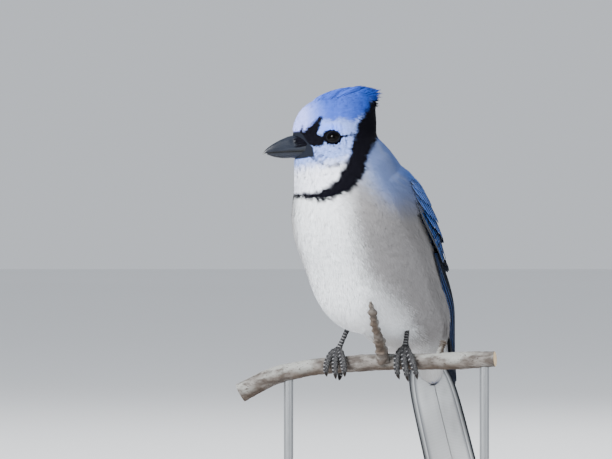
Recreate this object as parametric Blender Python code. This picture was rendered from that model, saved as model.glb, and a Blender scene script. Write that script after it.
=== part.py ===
"""A life-size blue jay perched on a cut length of branch, on a plain display stand.

Metres, +Z up, and +X runs along the perch to the viewer's right. The origin is the centre
of the base's underside. The bird is described in its own frame, whose origin is the middle
of the perch between the feet: forward, left and up, in millimetres. The plumage is one
smooth form blended from ellipsoids, and every piece is set on it or cut clear of it.
"""

import math

import bmesh
import bpy
import numpy as np

MM = 0.001
GAP = 0.3  # between touching nodes, in millimetres as every size below
SLIVER = 0.004  # edges and faces thinner than this are closed up after a cut or a union
LEFT = np.array([0.0, 1.0, 0.0])

# Where the bird stands and how it is turned
PERCH_HEIGHT = 124.0  # axis of the perch above the floor
PERCH_SETBACK = -14.0  # the perch sits in front of the base's centre line
BODY_YAW = math.radians(40)  # from facing the viewer, towards the viewer's left
HEAD_YAW = math.radians(75)
HEAD_CENTRE = np.array([22.0, -6.3, 124.0])

# Forms of the body, in the bird's frame: centre (forward, up), pitch of the long axis in
# degrees, and half sizes along it, sideways and through it
BODY_FORMS = (
    ((10.2, 75.6), 61, (44.1, 35.2, 36.5)),  # breast
    ((-3.6, 49.5), 48, (31.5, 31.8, 36.9)),  # belly
    ((-26.5, 30.5), 65, (29.3, 27.5, 22.8)),  # rump
    ((-48.0, 11.0), 69, (26.0, 13.6, 9.3)),  # tail coverts
    ((17.4, 103.5), 67, (16.2, 20.0, 26.2)),  # neck
)
# Forms of the head, in the head's frame: centre (forward, up) and half sizes forward,
# sideways and up
HEAD_FORMS = (
    ((-1.8, 9.9), (17.4, 15.6, 11.2)),  # cranium
    ((-1.0, -3.0), (14.5, 15.2, 13.0)),  # cheeks
    ((12.0, -2.8), (12.6, 6.0, 15.0)),  # face
    ((0.0, -15.0), (17.5, 14.2, 14.5)),  # throat
    ((-10.5, 9.5), (11.0, 9.5, 11.0)),  # nape
    ((10.0, 6.0), (10.5, 5.5, 11.0)),  # forehead
)
BODY_BLEND = 14.0  # how softly the forms run into each other
HEAD_BLEND = 8.0

# The line through the body that its sections are set on, as (forward, up), and where along
# it the tail's coverts, the torso, the neck and the head part
SPINE = ((-55, -7), (-47.5, 12), (-27, 33), (-7, 55), (5, 76), (13, 97), (17, 112))
SPINE_LENGTH = 139.0
TAIL_CUT = 0.13
NECK_CUT = 0.78
HEAD_CUT = 0.93
BODY_SECTORS = 26

# Bill, in the head's frame as (forward, up)
CULMEN = ((10.0, 1.6), (23.6, 0.4), (30.0, -1.6), (36.0, -4.8), (39.6, -7.6), (41.4, -10.0))
UPPER_EDGE = ((10.0, -8.0), (23.6, -8.3), (30.0, -8.6), (36.0, -9.0), (39.6, -9.5), (41.4, -10.2))
LOWER_EDGE = ((10.0, -8.4), (23.6, -8.7), (30.0, -9.0), (35.0, -9.3), (38.6, -9.8))
GONYS = ((10.0, -12.2), (23.6, -12.2), (30.0, -12.3), (35.0, -11.6), (38.6, -10.4))
BILL_WIDTHS = ((10, 9.4), (13, 8.8), (16, 7.7), (19, 6.5), (23.6, 5.0), (30, 3.5), (36, 2.2), (39.6, 1.15), (41.4, 0.35))
LOWER_NARROWER = 0.93  # the lower half fits inside the upper one's rims
BITE_ROUNDING = 0.04  # of each half's depth
NOSTRIL_PLACE = (26.5, -3.4)
NOSTRIL_RADIUS = 0.8

EYE_PLACE = (5.7, -0.8)  # forward and up, in the head's frame
EYE_RADIUS = 4.3
EYE_SUNK = 2.7  # the eye's centre below the plumage
LID_RADIUS = 3.75
LID_THICKNESS = 0.6

# Crest: its outline over the crown as (forward, up), and its rows of feathers: where they
# root, where they end, how far their tips stay below the outline, and how many across
CREST_OUTLINE = (
    (-25, 26.6), (-16, 28.4), (-5, 27.4), (3, 25.2), (9.6, 22.0), (16.8, 15.9), (21.6, 9.6),
)
CREST_ROWS = (
    (15.5, 9.5, 0.9, 3),
    (12.0, 4.0, 0.8, 2),
    (8.5, -2.0, 0.7, 3),
    (5.0, -8.5, 0.7, 2),
    (1.0, -15.0, 0.6, 3),
    (-3.0, -20.5, 0.4, 2),
    (-7.0, -24.6, 0.0, 3),
    (-10.5, -24.2, 4.0, 2),
    (-13.5, -22.8, 8.0, 3),
)
CREST_SPACING = 6.2  # across a row, at the roots
CREST_THICKNESS = 0.6
# The crest's own mass under those feathers: forward, top, bottom, half width
CREST_CORE = (
    (15.0, 13.2, 5.0, 4.0), (10.0, 19.0, 6.0, 7.5), (2.0, 23.4, 8.0, 9.0), (-6.0, 25.2, 8.0, 8.6),
    (-13.0, 25.6, 8.0, 7.2), (-18.5, 24.4, 10.0, 5.4), (-21.5, 22.8, 15.0, 3.0),
)

# The tail, in the bird's frame: where its feathers come together and how steeply it hangs
TAIL_ROOT = np.array([-50.8, 0.0, 17.0])
TAIL_SLOPE = math.radians(69)
TAIL_LENGTH = 128.0
TAIL_SHORTER = (0.0, 0.6, 2.2, 5.0, 9.0, 14.0)  # each pair than the middle one
TAIL_SEAMS = (0.0, 1.2, -1.2, 0.8, -0.8, 0.0)  # where a pair's inner edges meet
TAIL_LAYER = 0.9
TAIL_THICKNESS = 0.52
TAIL_OUTER_WEB = 3.9
TAIL_FANNING = 8.0  # below the root, in which most of the fan opens
TAIL_ROOF = 0.12  # the tail's fall to each side

# The folded wing's lower and upper edges, on the left of the bird: forward, left and up
WING_LOWER = ((12, 34, 97), (2, 37, 77), (-17, 33, 54), (-34, 24, 30), (-50.5, 16, 9), (-63.4, 11, -13))
WING_UPPER = ((-8, 21, 100), (-24, 12.5, 79), (-38, 6, 54), (-48, 3.6, 31), (-57, 3.6, 9), (-65.2, 4.4, -13))
WING_CLEARANCE = 0.45
SHOULDER = 0.14  # share of the wing's length over which its front end rounds off
VANE_THICKNESS = 0.58
LAYER = 0.94  # from one flight feather to the next one over it
# How many flight feathers lie side by side at each share of the wing's length
FLIGHT_SPREAD = (
    (0.5, 18.4), (0.6, 17.4), (0.66, 16.0), (0.7, 14.2), (0.76, 11.8),
    (0.8, 9.8), (0.85, 8.2), (0.9, 7.0), (0.95, 5.8), (1.0, 4.8),
)
FLIGHT_PLACES = ((0, 0.0), (8, 0.36), (13, 0.66), (18.4, 1.0))  # feather number, share across the wing
FLIGHT_TIPS = (
    0.88, 0.945, 0.985, 1.0, 0.975, 0.93, 0.88, 0.825, 0.78, 0.76, 0.74, 0.72, 0.705, 0.69, 0.655, 0.61,
)
FLIGHT_OVERLAP = 2.4
FLIGHT_START = 0.35  # inside the wing's arm

# The perch, in its own frame: along it, away from the viewer, up
PERCH_YAW = math.radians(-12)
PERCH_LINE = (
    (-73, 0, -17.5), (-56, 1, -8.8), (-39, 0.6, -4.4), (-22, 0, -1.9), (0, 0, -0.4),
    (18, 0.2, 0.2), (36, 0, 0.7), (52, -0.6, 1.1), (70, -1.5, 2.2),
)
PERCH_RADII = (5.5, 5.1, 4.7, 4.6, 4.7, 4.6, 4.6, 4.9, 4.3)
PERCH_RADIUS = 4.7
SPUR_LINE = (
    (8.1, -3, 1), (7.8, -8.5, 8), (7.7, -14.5, 13.5), (7.4, -21.5, 19), (7.2, -27.5, 25.5), (6.9, -33.5, 33.5),
)
SPUR_RADII = (3.4, 2.7, 2.4, 2.4, 0.8)
STUB_LINE = ((38.0, 0.0, 2.0), (40.0, -0.5, 8.0), (41.5, -1.0, 12.0))
STUB_RADII = (1.7, 1.5, 1.2)

# Legs and feet: each foot's place along the perch and each ankle's place on the bird
FEET = {"left": 19.7, "right": -18.0}
ANKLES = {"left": (-15.0, 15.5, 27.0), "right": (-1.5, -12.5, 26.0)}
TOE_RADIUS = 1.6
TOE_SPREADS = (-4.7, 0.1, 4.9)
FRONT_TOE_RADII = (2.1, 1.95, 1.8, 1.65, 1.25, 0.4)
BACK_TOE_RADII = (2.1, 1.9, 1.75, 1.6, 1.15, 0.4)
# A toe's path, as away from the viewer and up, off the perch's axis, for each foot: the right
# foot's toes lie flatter, over the front of the perch
TOE_PATHS = {
    "left": ((0.8, 0.6), (-3.8, -0.9), (-7.0, -4.4), (-7.6, -8.8), (-6.6, -13.0), (-3.9, -16.2)),
    "right": ((0.8, 0.9), (-3.6, 0.0), (-7.2, -3.2), (-8.4, -6.6), (-8.0, -10.2), (-6.0, -13.2)),
}
BACK_TOE_PATH = ((-0.8, 0.6), (3.8, -0.9), (6.7, -4.4), (7.3, -8.6), (5.6, -13.2), (3.0, -15.4))
HEEL_RADIUS = 2.2  # where the toes come together
SCUTE_RISE = 0.13  # of the toe's or tarsus's radius
SCUTES_ON_TOE = 5
SCUTES_ON_TARSUS = 9
TARSUS_RADII = (1.6, 1.35, 1.45, 1.7)

BASE_SIZE = (184.0, 122.0, 12.0)
BASE_CORNER = 14.0
BASE_BEVEL = 1.6
ROD_RADIUS = 2.6
ROD_PLACES = {"left": -46.0, "right": 64.0}


def unit(vector):
    return vector / np.linalg.norm(vector, axis=-1, keepdims=True)


def frame_of(yaw):
    """Rows are forward, left and up, in the world."""
    forward = np.array([-math.sin(yaw), -math.cos(yaw), 0.0])
    up = np.array([0.0, 0.0, 1.0])
    return np.array([forward, np.cross(up, forward), up])


BIRD_AXES = frame_of(BODY_YAW)
HEAD_TURN = frame_of(HEAD_YAW) @ BIRD_AXES.T  # rows are the head's axes in the bird's frame
PERCH_AXES = np.array(
    [
        [math.cos(PERCH_YAW), math.sin(PERCH_YAW), 0.0],
        [-math.sin(PERCH_YAW), math.cos(PERCH_YAW), 0.0],
        [0.0, 0.0, 1.0],
    ]
)
BIRD_ORIGIN = np.array([0.0, PERCH_SETBACK, PERCH_HEIGHT])


def to_world(points):
    """Bird's frame in millimetres to the world in metres."""
    return (np.asarray(points, float) @ BIRD_AXES + BIRD_ORIGIN) * MM


def from_head(points):
    """Head's frame to the bird's frame."""
    return np.asarray(points, float) @ HEAD_TURN + HEAD_CENTRE


def from_perch(points):
    """Perch's frame to the bird's frame."""
    return np.asarray(points, float) @ PERCH_AXES @ BIRD_AXES.T


def ellipsoid(points, centre, axes, half_sizes):
    """About the distance outside an ellipsoid: k (k - 1) over the length of the gradient of k."""
    local = (points - centre) @ np.transpose(axes)
    k = np.linalg.norm(local / half_sizes, axis=-1)
    slope = np.linalg.norm(local / np.square(half_sizes), axis=-1)
    return k * (k - 1) / np.maximum(slope, 1e-9)


def blended(a, b, softness):
    """The smaller of two distances, with the crease between them rounded off."""
    share = np.clip(0.5 + 0.5 * (b - a) / softness, 0, 1)
    return b * (1 - share) + a * share - softness * share * (1 - share)


def body_distance(points):
    found = None
    for (forward, up), pitch, half_sizes in BODY_FORMS:
        tilt = math.radians(pitch)
        along = np.array([math.cos(tilt), 0.0, math.sin(tilt)])
        axes = (along, LEFT, np.cross(along, LEFT))
        form = ellipsoid(points, (forward, 0.0, up), axes, np.array(half_sizes))
        found = form if found is None else blended(found, form, BODY_BLEND)
    return found


def head_distance(points):
    local = (points - HEAD_CENTRE) @ HEAD_TURN.T
    found = None
    for (forward, up), half_sizes in HEAD_FORMS:
        form = ellipsoid(local, (forward, 0.0, up), np.eye(3), np.array(half_sizes))
        found = form if found is None else blended(found, form, HEAD_BLEND)
    return found


def distance(points):
    """About how far points of the bird's frame lie outside its plumage."""
    return blended(body_distance(points), head_distance(points), BODY_BLEND)


def slope_at(points):
    """The way straight out of the plumage."""
    step = 0.4
    ahead = [distance(points + step * e) - distance(points - step * e) for e in np.eye(3)]
    return unit(np.stack(ahead, axis=-1))


def cast(origins, directions, outside=0.0, reach=62.0, start=1.0):
    """Where rays leave the plumage, grown by outside: halving between start and reach."""
    near = np.full(directions.shape[:-1], start)
    far = np.full(directions.shape[:-1], reach)
    for _ in range(26):
        middle = (near + far) / 2
        inside = distance(origins + directions * middle[..., None]) < outside
        near = np.where(inside, middle, near)
        far = np.where(inside, far, middle)
    return origins + directions * far[..., None]


def spline(points, shares):
    """Points at shares of the length along a Catmull-Rom curve through the given ones."""
    p = np.asarray(points, float)
    p = np.vstack([2 * p[0] - p[1], p, 2 * p[-1] - p[-2]])
    t = np.linspace(0, 1, 24, endpoint=False)[:, None]
    spans = []
    for a, b, c, d in zip(p[:-3], p[1:-2], p[2:-1], p[3:]):
        curve = 2 * b + (c - a) * t + (2 * a - 5 * b + 4 * c - d) * t**2 + (3 * b - a - 3 * c + d) * t**3
        spans.append(0.5 * curve)
    fine = np.vstack([*spans, p[-2:-1]])
    length = np.concatenate([[0], np.cumsum(np.linalg.norm(np.diff(fine, axis=0), axis=1))])
    wanted = np.asarray(shares, float) * length[-1]
    return np.stack([np.interp(wanted, length, fine[:, i]) for i in range(p.shape[1])], axis=-1)


def mesh_object(name, points, faces, smooth=True):
    """An object from points of the bird's frame."""
    mesh = bpy.data.meshes.new(name)
    mesh.from_pydata([tuple(p) for p in to_world(points)], [], faces)
    shape = bmesh.new()
    shape.from_mesh(mesh)
    bmesh.ops.recalc_face_normals(shape, faces=shape.faces)
    shape.to_mesh(mesh)
    shape.free()
    if smooth:
        mesh.shade_smooth()
        mesh.set_sharp_from_angle(angle=math.radians(40))
    made = bpy.data.objects.new(name, mesh)
    bpy.context.scene.collection.objects.link(made)
    return made


def shell(name, rings):
    """A closed body from rings of points, capped flat."""
    count, around = rings.shape[:2]
    faces = []
    for r in range(count - 1):
        for i in range(around):
            j = (i + 1) % around
            faces.append([r * around + i, r * around + j, (r + 1) * around + j, (r + 1) * around + i])
    faces.append(list(range(around))[::-1])
    faces.append([(count - 1) * around + i for i in range(around)])
    return mesh_object(name, rings.reshape(-1, 3), faces)


def plate(name, under, over):
    """A closed body between two grids of points, with both faces split into triangles alike."""
    rows, columns = under.shape[:2]
    size = rows * columns
    faces = []
    for r in range(rows - 1):
        for c in range(columns - 1):
            a = r * columns + c
            for corners in ((a, a + 1, a + columns + 1), (a, a + columns + 1, a + columns)):
                faces.append(list(corners))
                faces.append([size + i for i in corners[::-1]])
    top = list(range(columns))
    right = [r * columns + columns - 1 for r in range(1, rows)]
    bottom = [(rows - 1) * columns + c for c in range(columns - 2, -1, -1)]
    left = [r * columns for r in range(rows - 2, 0, -1)]
    border = top + right + bottom + left
    for a, b in zip(border, border[1:] + border[:1]):
        faces.append([a, b, size + b, size + a])
    return mesh_object(name, np.concatenate([under.reshape(-1, 3), over.reshape(-1, 3)]), faces)


def ball(name, centre, radius, rings=9, around=14, axis=2):
    """A round body with its poles on one axis; its last rings are nearly points."""
    polar = np.linspace(0.02, math.pi - 0.02, rings)[:, None]
    angle = np.linspace(0, 2 * math.pi, around, endpoint=False)
    sides = [np.sin(polar) * np.cos(angle), np.sin(polar) * np.sin(angle)]
    sides.insert(axis, np.cos(polar) + 0 * angle)
    return shell(name, centre + radius * np.stack(sides, axis=-1))


def tube(line, radii, count, around, across=(0.0, 0.0, 1.0), scutes=0):
    """Rings of a round section along a curve; scutes are plates that each overlap the next."""
    at = np.linspace(0, 1, count)
    if scutes:
        edges = np.arange(scutes + 1) / scutes * 0.8
        at = np.sort(np.concatenate([edges, edges[1:] - 0.012, [0.9, 1.0]]))
    centres = spline(line, at)
    along = unit(spline(line, np.clip(at + 0.02, 0, 1)) - spline(line, np.clip(at - 0.02, 0, 1)))
    side = unit(np.cross(along, across))
    up = np.cross(side, along)
    radius = np.interp(at, np.linspace(0, 1, len(radii)), radii)
    if scutes:
        within = np.mod(at / 0.8 * scutes + 1e-6, 1.0)
        radius = radius * (1 + SCUTE_RISE * np.where(at < 0.8, within, 0.0))
    angle = np.linspace(0, 2 * math.pi, around, endpoint=False)
    ring = side[:, None] * np.cos(angle)[:, None] + up[:, None] * np.sin(angle)[:, None]
    return centres[:, None] + ring * radius[:, None, None]


def applied(target):
    """Writes the object's modifiers into its mesh."""
    graph = bpy.context.evaluated_depsgraph_get()
    mesh = bpy.data.meshes.new_from_object(target.evaluated_get(graph))
    target.modifiers.clear()
    target.data = mesh
    return target


def carved(target, *cutters):
    """The target less the cutters, which are then removed."""
    for cutter in cutters:
        cut = target.modifiers.new("cut", "BOOLEAN")
        cut.operation = "DIFFERENCE"
        cut.object = cutter
    applied(target)
    for cutter in cutters:
        bpy.data.objects.remove(cutter)
    return tidied(target)


def fused(name, pieces):
    """One body from closed pieces that overlap, which are then removed."""
    group = bpy.data.collections.new(name + "_pieces")
    bpy.context.scene.collection.children.link(group)
    for piece in pieces[1:]:
        group.objects.link(piece)
    base = pieces[0]
    join = base.modifiers.new("join", "BOOLEAN")
    join.operation = "UNION"
    join.operand_type = "COLLECTION"
    join.collection = group
    applied(base)
    for piece in pieces[1:]:
        bpy.data.objects.remove(piece)
    bpy.data.collections.remove(group)
    base.name = name
    return tidied(base)


def tidied(target):
    """Closes up slivers of a mesh and keeps only its largest closed surface."""
    shape = bmesh.new()
    shape.from_mesh(target.data)
    bmesh.ops.remove_doubles(shape, verts=shape.verts, dist=SLIVER * MM)
    bmesh.ops.dissolve_degenerate(shape, edges=shape.edges, dist=SLIVER * MM)
    bmesh.ops.triangulate(shape, faces=shape.faces)
    left = set(shape.faces)
    bodies = []
    while left:
        body = {left.pop()}
        edge = list(body)
        while edge:
            for side in edge.pop().edges:
                for other in left.intersection(side.link_faces):
                    left.remove(other)
                    body.add(other)
                    edge.append(other)
        bodies.append(body)
    bodies.sort(key=lambda body: -sum(face.calc_area() for face in body))
    loose = [face for body in bodies[1:] for face in body]
    bmesh.ops.delete(shape, geom=loose, context="FACES")
    shape.to_mesh(target.data)
    shape.free()
    return target


def painted(target, colour, roughness, metallic=0.0):
    """Gives the object a material of its own."""
    finish = bpy.data.materials.new(target.name)
    finish.use_nodes = True
    shader = finish.node_tree.nodes["Principled BSDF"]
    shader.inputs["Base Color"].default_value = (*colour, 1.0)
    shader.inputs["Roughness"].default_value = roughness
    shader.inputs["Metallic"].default_value = metallic
    target.data.materials.clear()
    target.data.materials.append(finish)
    return target


def body_rings(start, end, count, outside=0.0):
    """Sections of the plumage across the spine between two shares of its length."""
    at = np.linspace(start, end, count)
    line = spline(SPINE, at)
    ahead = spline(SPINE, np.clip(at + 0.01, 0, 1)) - spline(SPINE, np.clip(at - 0.01, 0, 1))
    flat = 0 * line[:, 0]
    along = unit(np.stack([ahead[:, 0], flat, ahead[:, 1]], axis=1))
    centres = np.stack([line[:, 0], flat, line[:, 1]], axis=1)
    front = np.cross(LEFT, along)
    angle = np.linspace(0, 2 * math.pi, BODY_SECTORS, endpoint=False)
    rays = front[:, None] * np.cos(angle)[:, None] + LEFT * np.sin(angle)[:, None]
    return cast(centres[:, None] + 0 * rays, rays, outside)


def head_shell(name, outside=0.0, rings=16, around=22):
    """The head as rays from its middle, in rings from the bill's root back to the nape."""
    polar = np.linspace(0.03, math.pi - 0.03, rings)[:, None]
    angle = np.linspace(0, 2 * math.pi, around, endpoint=False) + 0.1
    sides = [np.cos(polar) + 0 * angle, np.sin(polar) * np.sin(angle), np.sin(polar) * np.cos(angle)]
    rays = np.stack(sides, axis=-1) @ HEAD_TURN
    middle = from_head([1.0, 0.0, -6.0])
    return shell(name, cast(middle + 0 * rays, rays, outside, reach=44.0))


def below_head():
    """A block that covers everything under the cut between neck and head."""
    line = spline(SPINE, [HEAD_CUT - 0.01, HEAD_CUT, HEAD_CUT + 0.01])
    along = unit(line[2] - line[0])
    normal = np.array([along[0], 0.0, along[1]])
    centre = np.array([line[1][0], 0.0, line[1][1]]) + normal * GAP
    across = np.cross(normal, LEFT)
    square = np.array([-across - LEFT, across - LEFT, across + LEFT, LEFT - across]) * 90.0
    return shell("below_head", np.array([centre + square, centre + square - normal * 90.0]))


def eye_place(side):
    """Where the eye's centre is, and the way the eye looks."""
    start = from_head([EYE_PLACE[0], 0.0, EYE_PLACE[1]])
    surface = cast(start, from_head([0.0, side, 0.0]) - HEAD_CENTRE)
    out = slope_at(surface)
    return surface - out * EYE_SUNK, out


def eyelid(side):
    """A round rim of skin on the plumage round the eye."""
    centre, out = eye_place(side)
    first = unit(np.cross(out, [0.0, 0.0, 1.0]))
    second = np.cross(out, first)
    angle = np.linspace(0, 2 * math.pi, 18, endpoint=False)
    rim = first * np.cos(angle)[:, None] + second * np.sin(angle)[:, None]
    middle = cast(centre + rim * LID_RADIUS - out * 6.0, out + 0 * rim, start=0.0, reach=14.0)
    turn = np.linspace(0, 2 * math.pi, 6, endpoint=False)[:, None]
    section = rim[:, None] * np.cos(turn) + out * np.sin(turn)
    points = middle[:, None] + LID_THICKNESS * section
    faces = []
    for i in range(18):
        for j in range(6):
            k, m = (i + 1) % 18, (j + 1) % 6
            faces.append([i * 6 + j, k * 6 + j, k * 6 + m, i * 6 + m])
    return mesh_object("eyelid", points.reshape(-1, 3), faces)


def crest_feather(root, tip, side_root, drop):
    """One crest feather: a vane from inside the crown, up along the crest to its own tip."""
    outline = np.array(CREST_OUTLINE, float)
    share = np.array([0.0, 0.4, 0.8, 1.0])
    side_tip = 0.55 * side_root
    start = cast(from_head([root, side_root, 0.0]), np.array([0.0, 0.0, 1.0]), reach=30.0)
    start_up = (start - HEAD_CENTRE)[2] - 1.6
    tip_up = np.interp(tip, outline[:, 0], outline[:, 1]) - 0.05 * side_tip**2 - drop
    forward = root + (tip - root) * share
    left = side_root + (side_tip - side_root) * share
    up = start_up + (tip_up - start_up) * share + 1.1 * np.sin(math.pi * share)
    half = np.array([2.6, 3.4, 1.9, 0.5])[:, None]
    centre = np.stack([forward, left, up], axis=1)[:, None]
    across = unit(np.array([0.0, 1.0, -0.05 * side_root]))  # outer feathers lean outwards
    columns = np.array([-1.0, 0.0, 1.0])[:, None]
    under = centre + across * columns * half[:, None]
    under[..., 2] -= 0.25 * np.abs(columns[:, 0])  # the vane falls to both sides of its shaft
    return plate("crest_feather", from_head(under), from_head(under + [0.0, 0.0, CREST_THICKNESS]))


def crest_feathers():
    feathers = []
    for root, tip, drop, across in CREST_ROWS:
        sway = 0.4 * math.sin(7 * root)
        for i in range(across):
            side = (i - (across - 1) / 2) * CREST_SPACING
            feathers.append(crest_feather(root, tip, side + sway, drop))
    return feathers


def crest_core():
    """The crest's mass: round sections across it, from the forehead to behind the crown."""
    forward, top, bottom, half = np.transpose(CREST_CORE)[:, :, None]
    angle = np.linspace(0, 2 * math.pi, 12, endpoint=False) + 0.2
    up = (top + bottom) / 2 + (top - bottom) / 2 * np.sin(angle)
    rings = np.stack([forward + 0 * up, half * np.cos(angle) + 0 * up, up], axis=-1)
    return shell("crest_core", from_head(rings))


def make_head():
    head = fused("head", [head_shell("head"), crest_core(), *crest_feathers(), eyelid(1), eyelid(-1)])
    sockets = [ball("socket", eye_place(side)[0], EYE_RADIUS + GAP, 11, 16) for side in (1, -1)]
    return carved(head, below_head(), *sockets)


def mandible(name, top, bottom, is_lower):
    """Half of the bill: sections between two lines, round outside and nearly flat at the bite."""
    share = np.linspace(0, 1, 12)
    high = spline(top, share)
    low = spline(bottom, share)
    width = np.interp((high[:, 0] + low[:, 0]) / 2, *np.transpose(BILL_WIDTHS))
    if is_lower:
        width = LOWER_NARROWER * width
    outer, inner = (low, high) if is_lower else (high, low)
    seam = inner + BITE_ROUNDING * (outer - inner)
    angle = np.linspace(0, 2 * math.pi, 14, endpoint=False)
    side = np.sign(np.cos(angle)) * np.abs(np.cos(angle)) ** 0.8
    lift = np.abs(np.sin(angle)) * np.where(np.sin(angle) > 0, 1.0, -BITE_ROUNDING)
    line = seam[:, None] + lift[:, None] * (outer - seam)[:, None]
    rings = np.stack([line[..., 0], width[:, None] * side, line[..., 1]], axis=-1)
    return carved(shell(name, from_head(rings)), head_shell("grown_head", GAP))


def make_upper_bill():
    bill = mandible("bill_upper", CULMEN, UPPER_EDGE, False)
    width = np.interp(NOSTRIL_PLACE[0], *np.transpose(BILL_WIDTHS))
    places = [from_head([NOSTRIL_PLACE[0], side * width * 0.97, NOSTRIL_PLACE[1]]) for side in (1, -1)]
    return carved(bill, *[ball("nostril", place, NOSTRIL_RADIUS, 6, 8) for place in places])


def tail_feather(pair, side, layer):
    """One tail feather: a vane as long as the tail, lower at its outer edge."""
    length = TAIL_LENGTH - TAIL_SHORTER[pair]
    reach = np.array([17.0, 30.0, 60.0, length - 14.0, length - 4.5, length])
    share = (reach - reach[0]) / (length - reach[0])
    opened = 1 - np.exp(-(reach - reach[0]) / TAIL_FANNING)
    shaft = side * (1.0 + 1.25 * pair + 1.25 * pair * opened + (1.6 + 0.1 * pair) * share)
    taper = np.array([0.55, 1.0, 1.0, 1.0, 0.75, 0.3])
    inner = TAIL_SEAMS[pair] + side * 0.2
    if pair == 0:
        inner = -side * 3.5 if side > 0 else -0.2
    inner = shaft + (inner - shaft) * taper
    outer = shaft + side * TAIL_OUTER_WEB * taper
    across = np.stack([inner, shaft, outer], axis=1)
    along = np.array([-math.cos(TAIL_SLOPE), 0.0, -math.sin(TAIL_SLOPE)])
    back = np.array([-math.sin(TAIL_SLOPE), 0.0, math.cos(TAIL_SLOPE)])
    height = -TAIL_LAYER * layer - TAIL_ROOF * np.sqrt(across**2 + 1.0)
    under = TAIL_ROOT + reach[:, None, None] * along + across[..., None] * LEFT + height[..., None] * back
    return plate("tail_feather", under, under + TAIL_THICKNESS * back)


def tail_covert(reach, side_root, side_tip, height, half):
    """A shorter vane over or under the tail's root; height is above the tail's top feather."""
    share = np.array([0.0, 0.4, 0.8, 1.0])
    taper = np.array([0.8, 1.0, 0.75, 0.25])[:, None] * half
    across = (side_root + (side_tip - side_root) * share)[:, None] + taper * np.array([-1.0, 0.0, 1.0])
    along = np.array([-math.cos(TAIL_SLOPE), 0.0, -math.sin(TAIL_SLOPE)])
    back = np.array([-math.sin(TAIL_SLOPE), 0.0, math.cos(TAIL_SLOPE)])
    down = (reach[0] + (reach[1] - reach[0]) * share)[:, None]
    rise = (height[0] + (height[1] - height[0]) * share)[:, None] - TAIL_ROOF * np.sqrt(across**2 + 1.0)
    under = TAIL_ROOT + down[..., None] * along + across[..., None] * LEFT + rise[..., None] * back
    return plate("tail_covert", under, under + 0.6 * back)


def make_tail():
    """The tail's coverts as a body, with twelve tail feathers and the longest coverts rooted in it."""
    rings = body_rings(0.0, TAIL_CUT - GAP / SPINE_LENGTH, 6)
    pieces = [shell("tail", rings)]
    pieces.append(tail_feather(0, 1, 0))
    for pair in range(6):
        for side in (1, -1):
            if (pair, side) != (0, 1):
                pieces.append(tail_feather(pair, side, pair + 1))
    under = -TAIL_LAYER * 7.2
    for side, reach in ((-7.5, 40.0), (7.5, 42.0), (-2.6, 52.0), (2.6, 50.0)):
        pieces.append(tail_covert((20.0, reach), 0.8 * side, side, (under, under - 0.7), 2.3))
    for side, reach in ((-6.5, 38.0), (6.5, 40.0), (0.0, 47.0)):
        pieces.append(tail_covert((18.0, reach), 0.8 * side, side, (0.4, 1.1), 3.0))
    return fused("tail", pieces)


def wing_sheet(along, across, height):
    """Points of the left wing: shares along and across it, and the height over its underside."""
    fine = np.linspace(0, 1, 101)
    low = spline(WING_LOWER, fine)
    high = spline(WING_UPPER, fine)
    lower = np.stack([np.interp(along, fine, low[:, i]) for i in range(3)], axis=-1)
    upper = np.stack([np.interp(along, fine, high[:, i]) for i in range(3)], axis=-1)
    narrow = np.sqrt(np.clip(1.02 - (1 - np.minimum(along / SHOULDER, 1)) ** 2, 0.1, 1))
    points = lower + (upper - lower) * (0.5 + (across - 0.5) * narrow)[..., None]
    for _ in range(4):
        short = WING_CLEARANCE - distance(points)
        push = 0.5 * (short + np.sqrt(short**2 + 0.6))
        points = points + slope_at(points) * push[..., None]
    return points + slope_at(points) * height[..., None]


def wing_vane(name, along, across, height, side, thickness=VANE_THICKNESS):
    turn = np.array([1, side, 1])
    under = wing_sheet(along, across, height) * turn
    over = wing_sheet(along, across, height + thickness) * turn
    return plate(name, under, over)


def flight_height(number, index, along):
    """How high a flight feather lies: one layer for each that lies under it."""
    layers = np.minimum(number, FLIGHT_OVERLAP - (index - number))
    return LAYER * np.maximum(layers, 0.0) * np.interp(along, (0.3, 0.5), (0.4, 1.0))


def flight_feather(number, side):
    """A primary, secondary or tertial from inside the wing to its tip."""
    tip = FLIGHT_TIPS[number]
    spans = 3 if tip > 0.8 else 2
    along = np.append(np.linspace(FLIGHT_START, tip - 0.09, spans + 1), [tip - 0.03, tip])
    taper = np.append(np.ones(spans), [0.95, 0.7, 0.25])[:, None]
    index = number + 0.3 * (1 - taper) + FLIGHT_OVERLAP * taper * np.array([0.0, 0.4, 1.0])
    along = along[:, None] + 0 * index
    spread, spread_count = np.transpose(FLIGHT_SPREAD)
    at_edge = np.interp(np.interp(along, spread, spread_count), *np.transpose(FLIGHT_PLACES))
    across = np.interp(index, *np.transpose(FLIGHT_PLACES)) / at_edge
    return wing_vane("flight_feather", along, across, flight_height(number, index, along), side)


def covert(along, low, width, base, layer, side):
    """A covert: shares along the wing where it roots and ends, and its low edge across the wing."""
    share = np.array([0.0, 0.45, 0.82, 1.0])
    taper = np.array([1.0, 1.0, 0.8, 0.35])[:, None]
    at = (along[0] + (along[1] - along[0]) * share)[:, None] + 0 * taper * np.ones(3)
    across = low + 0.25 * (1 - taper) * width + width * taper * np.array([0.0, 0.45, 1.0])
    lifted = layer * (1 - taper * np.array([0.0, 0.45, 1.0]))
    height = (base[0] + (base[1] - base[0]) * share)[:, None] + lifted
    return wing_vane("covert", at, across, height, side)


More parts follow.
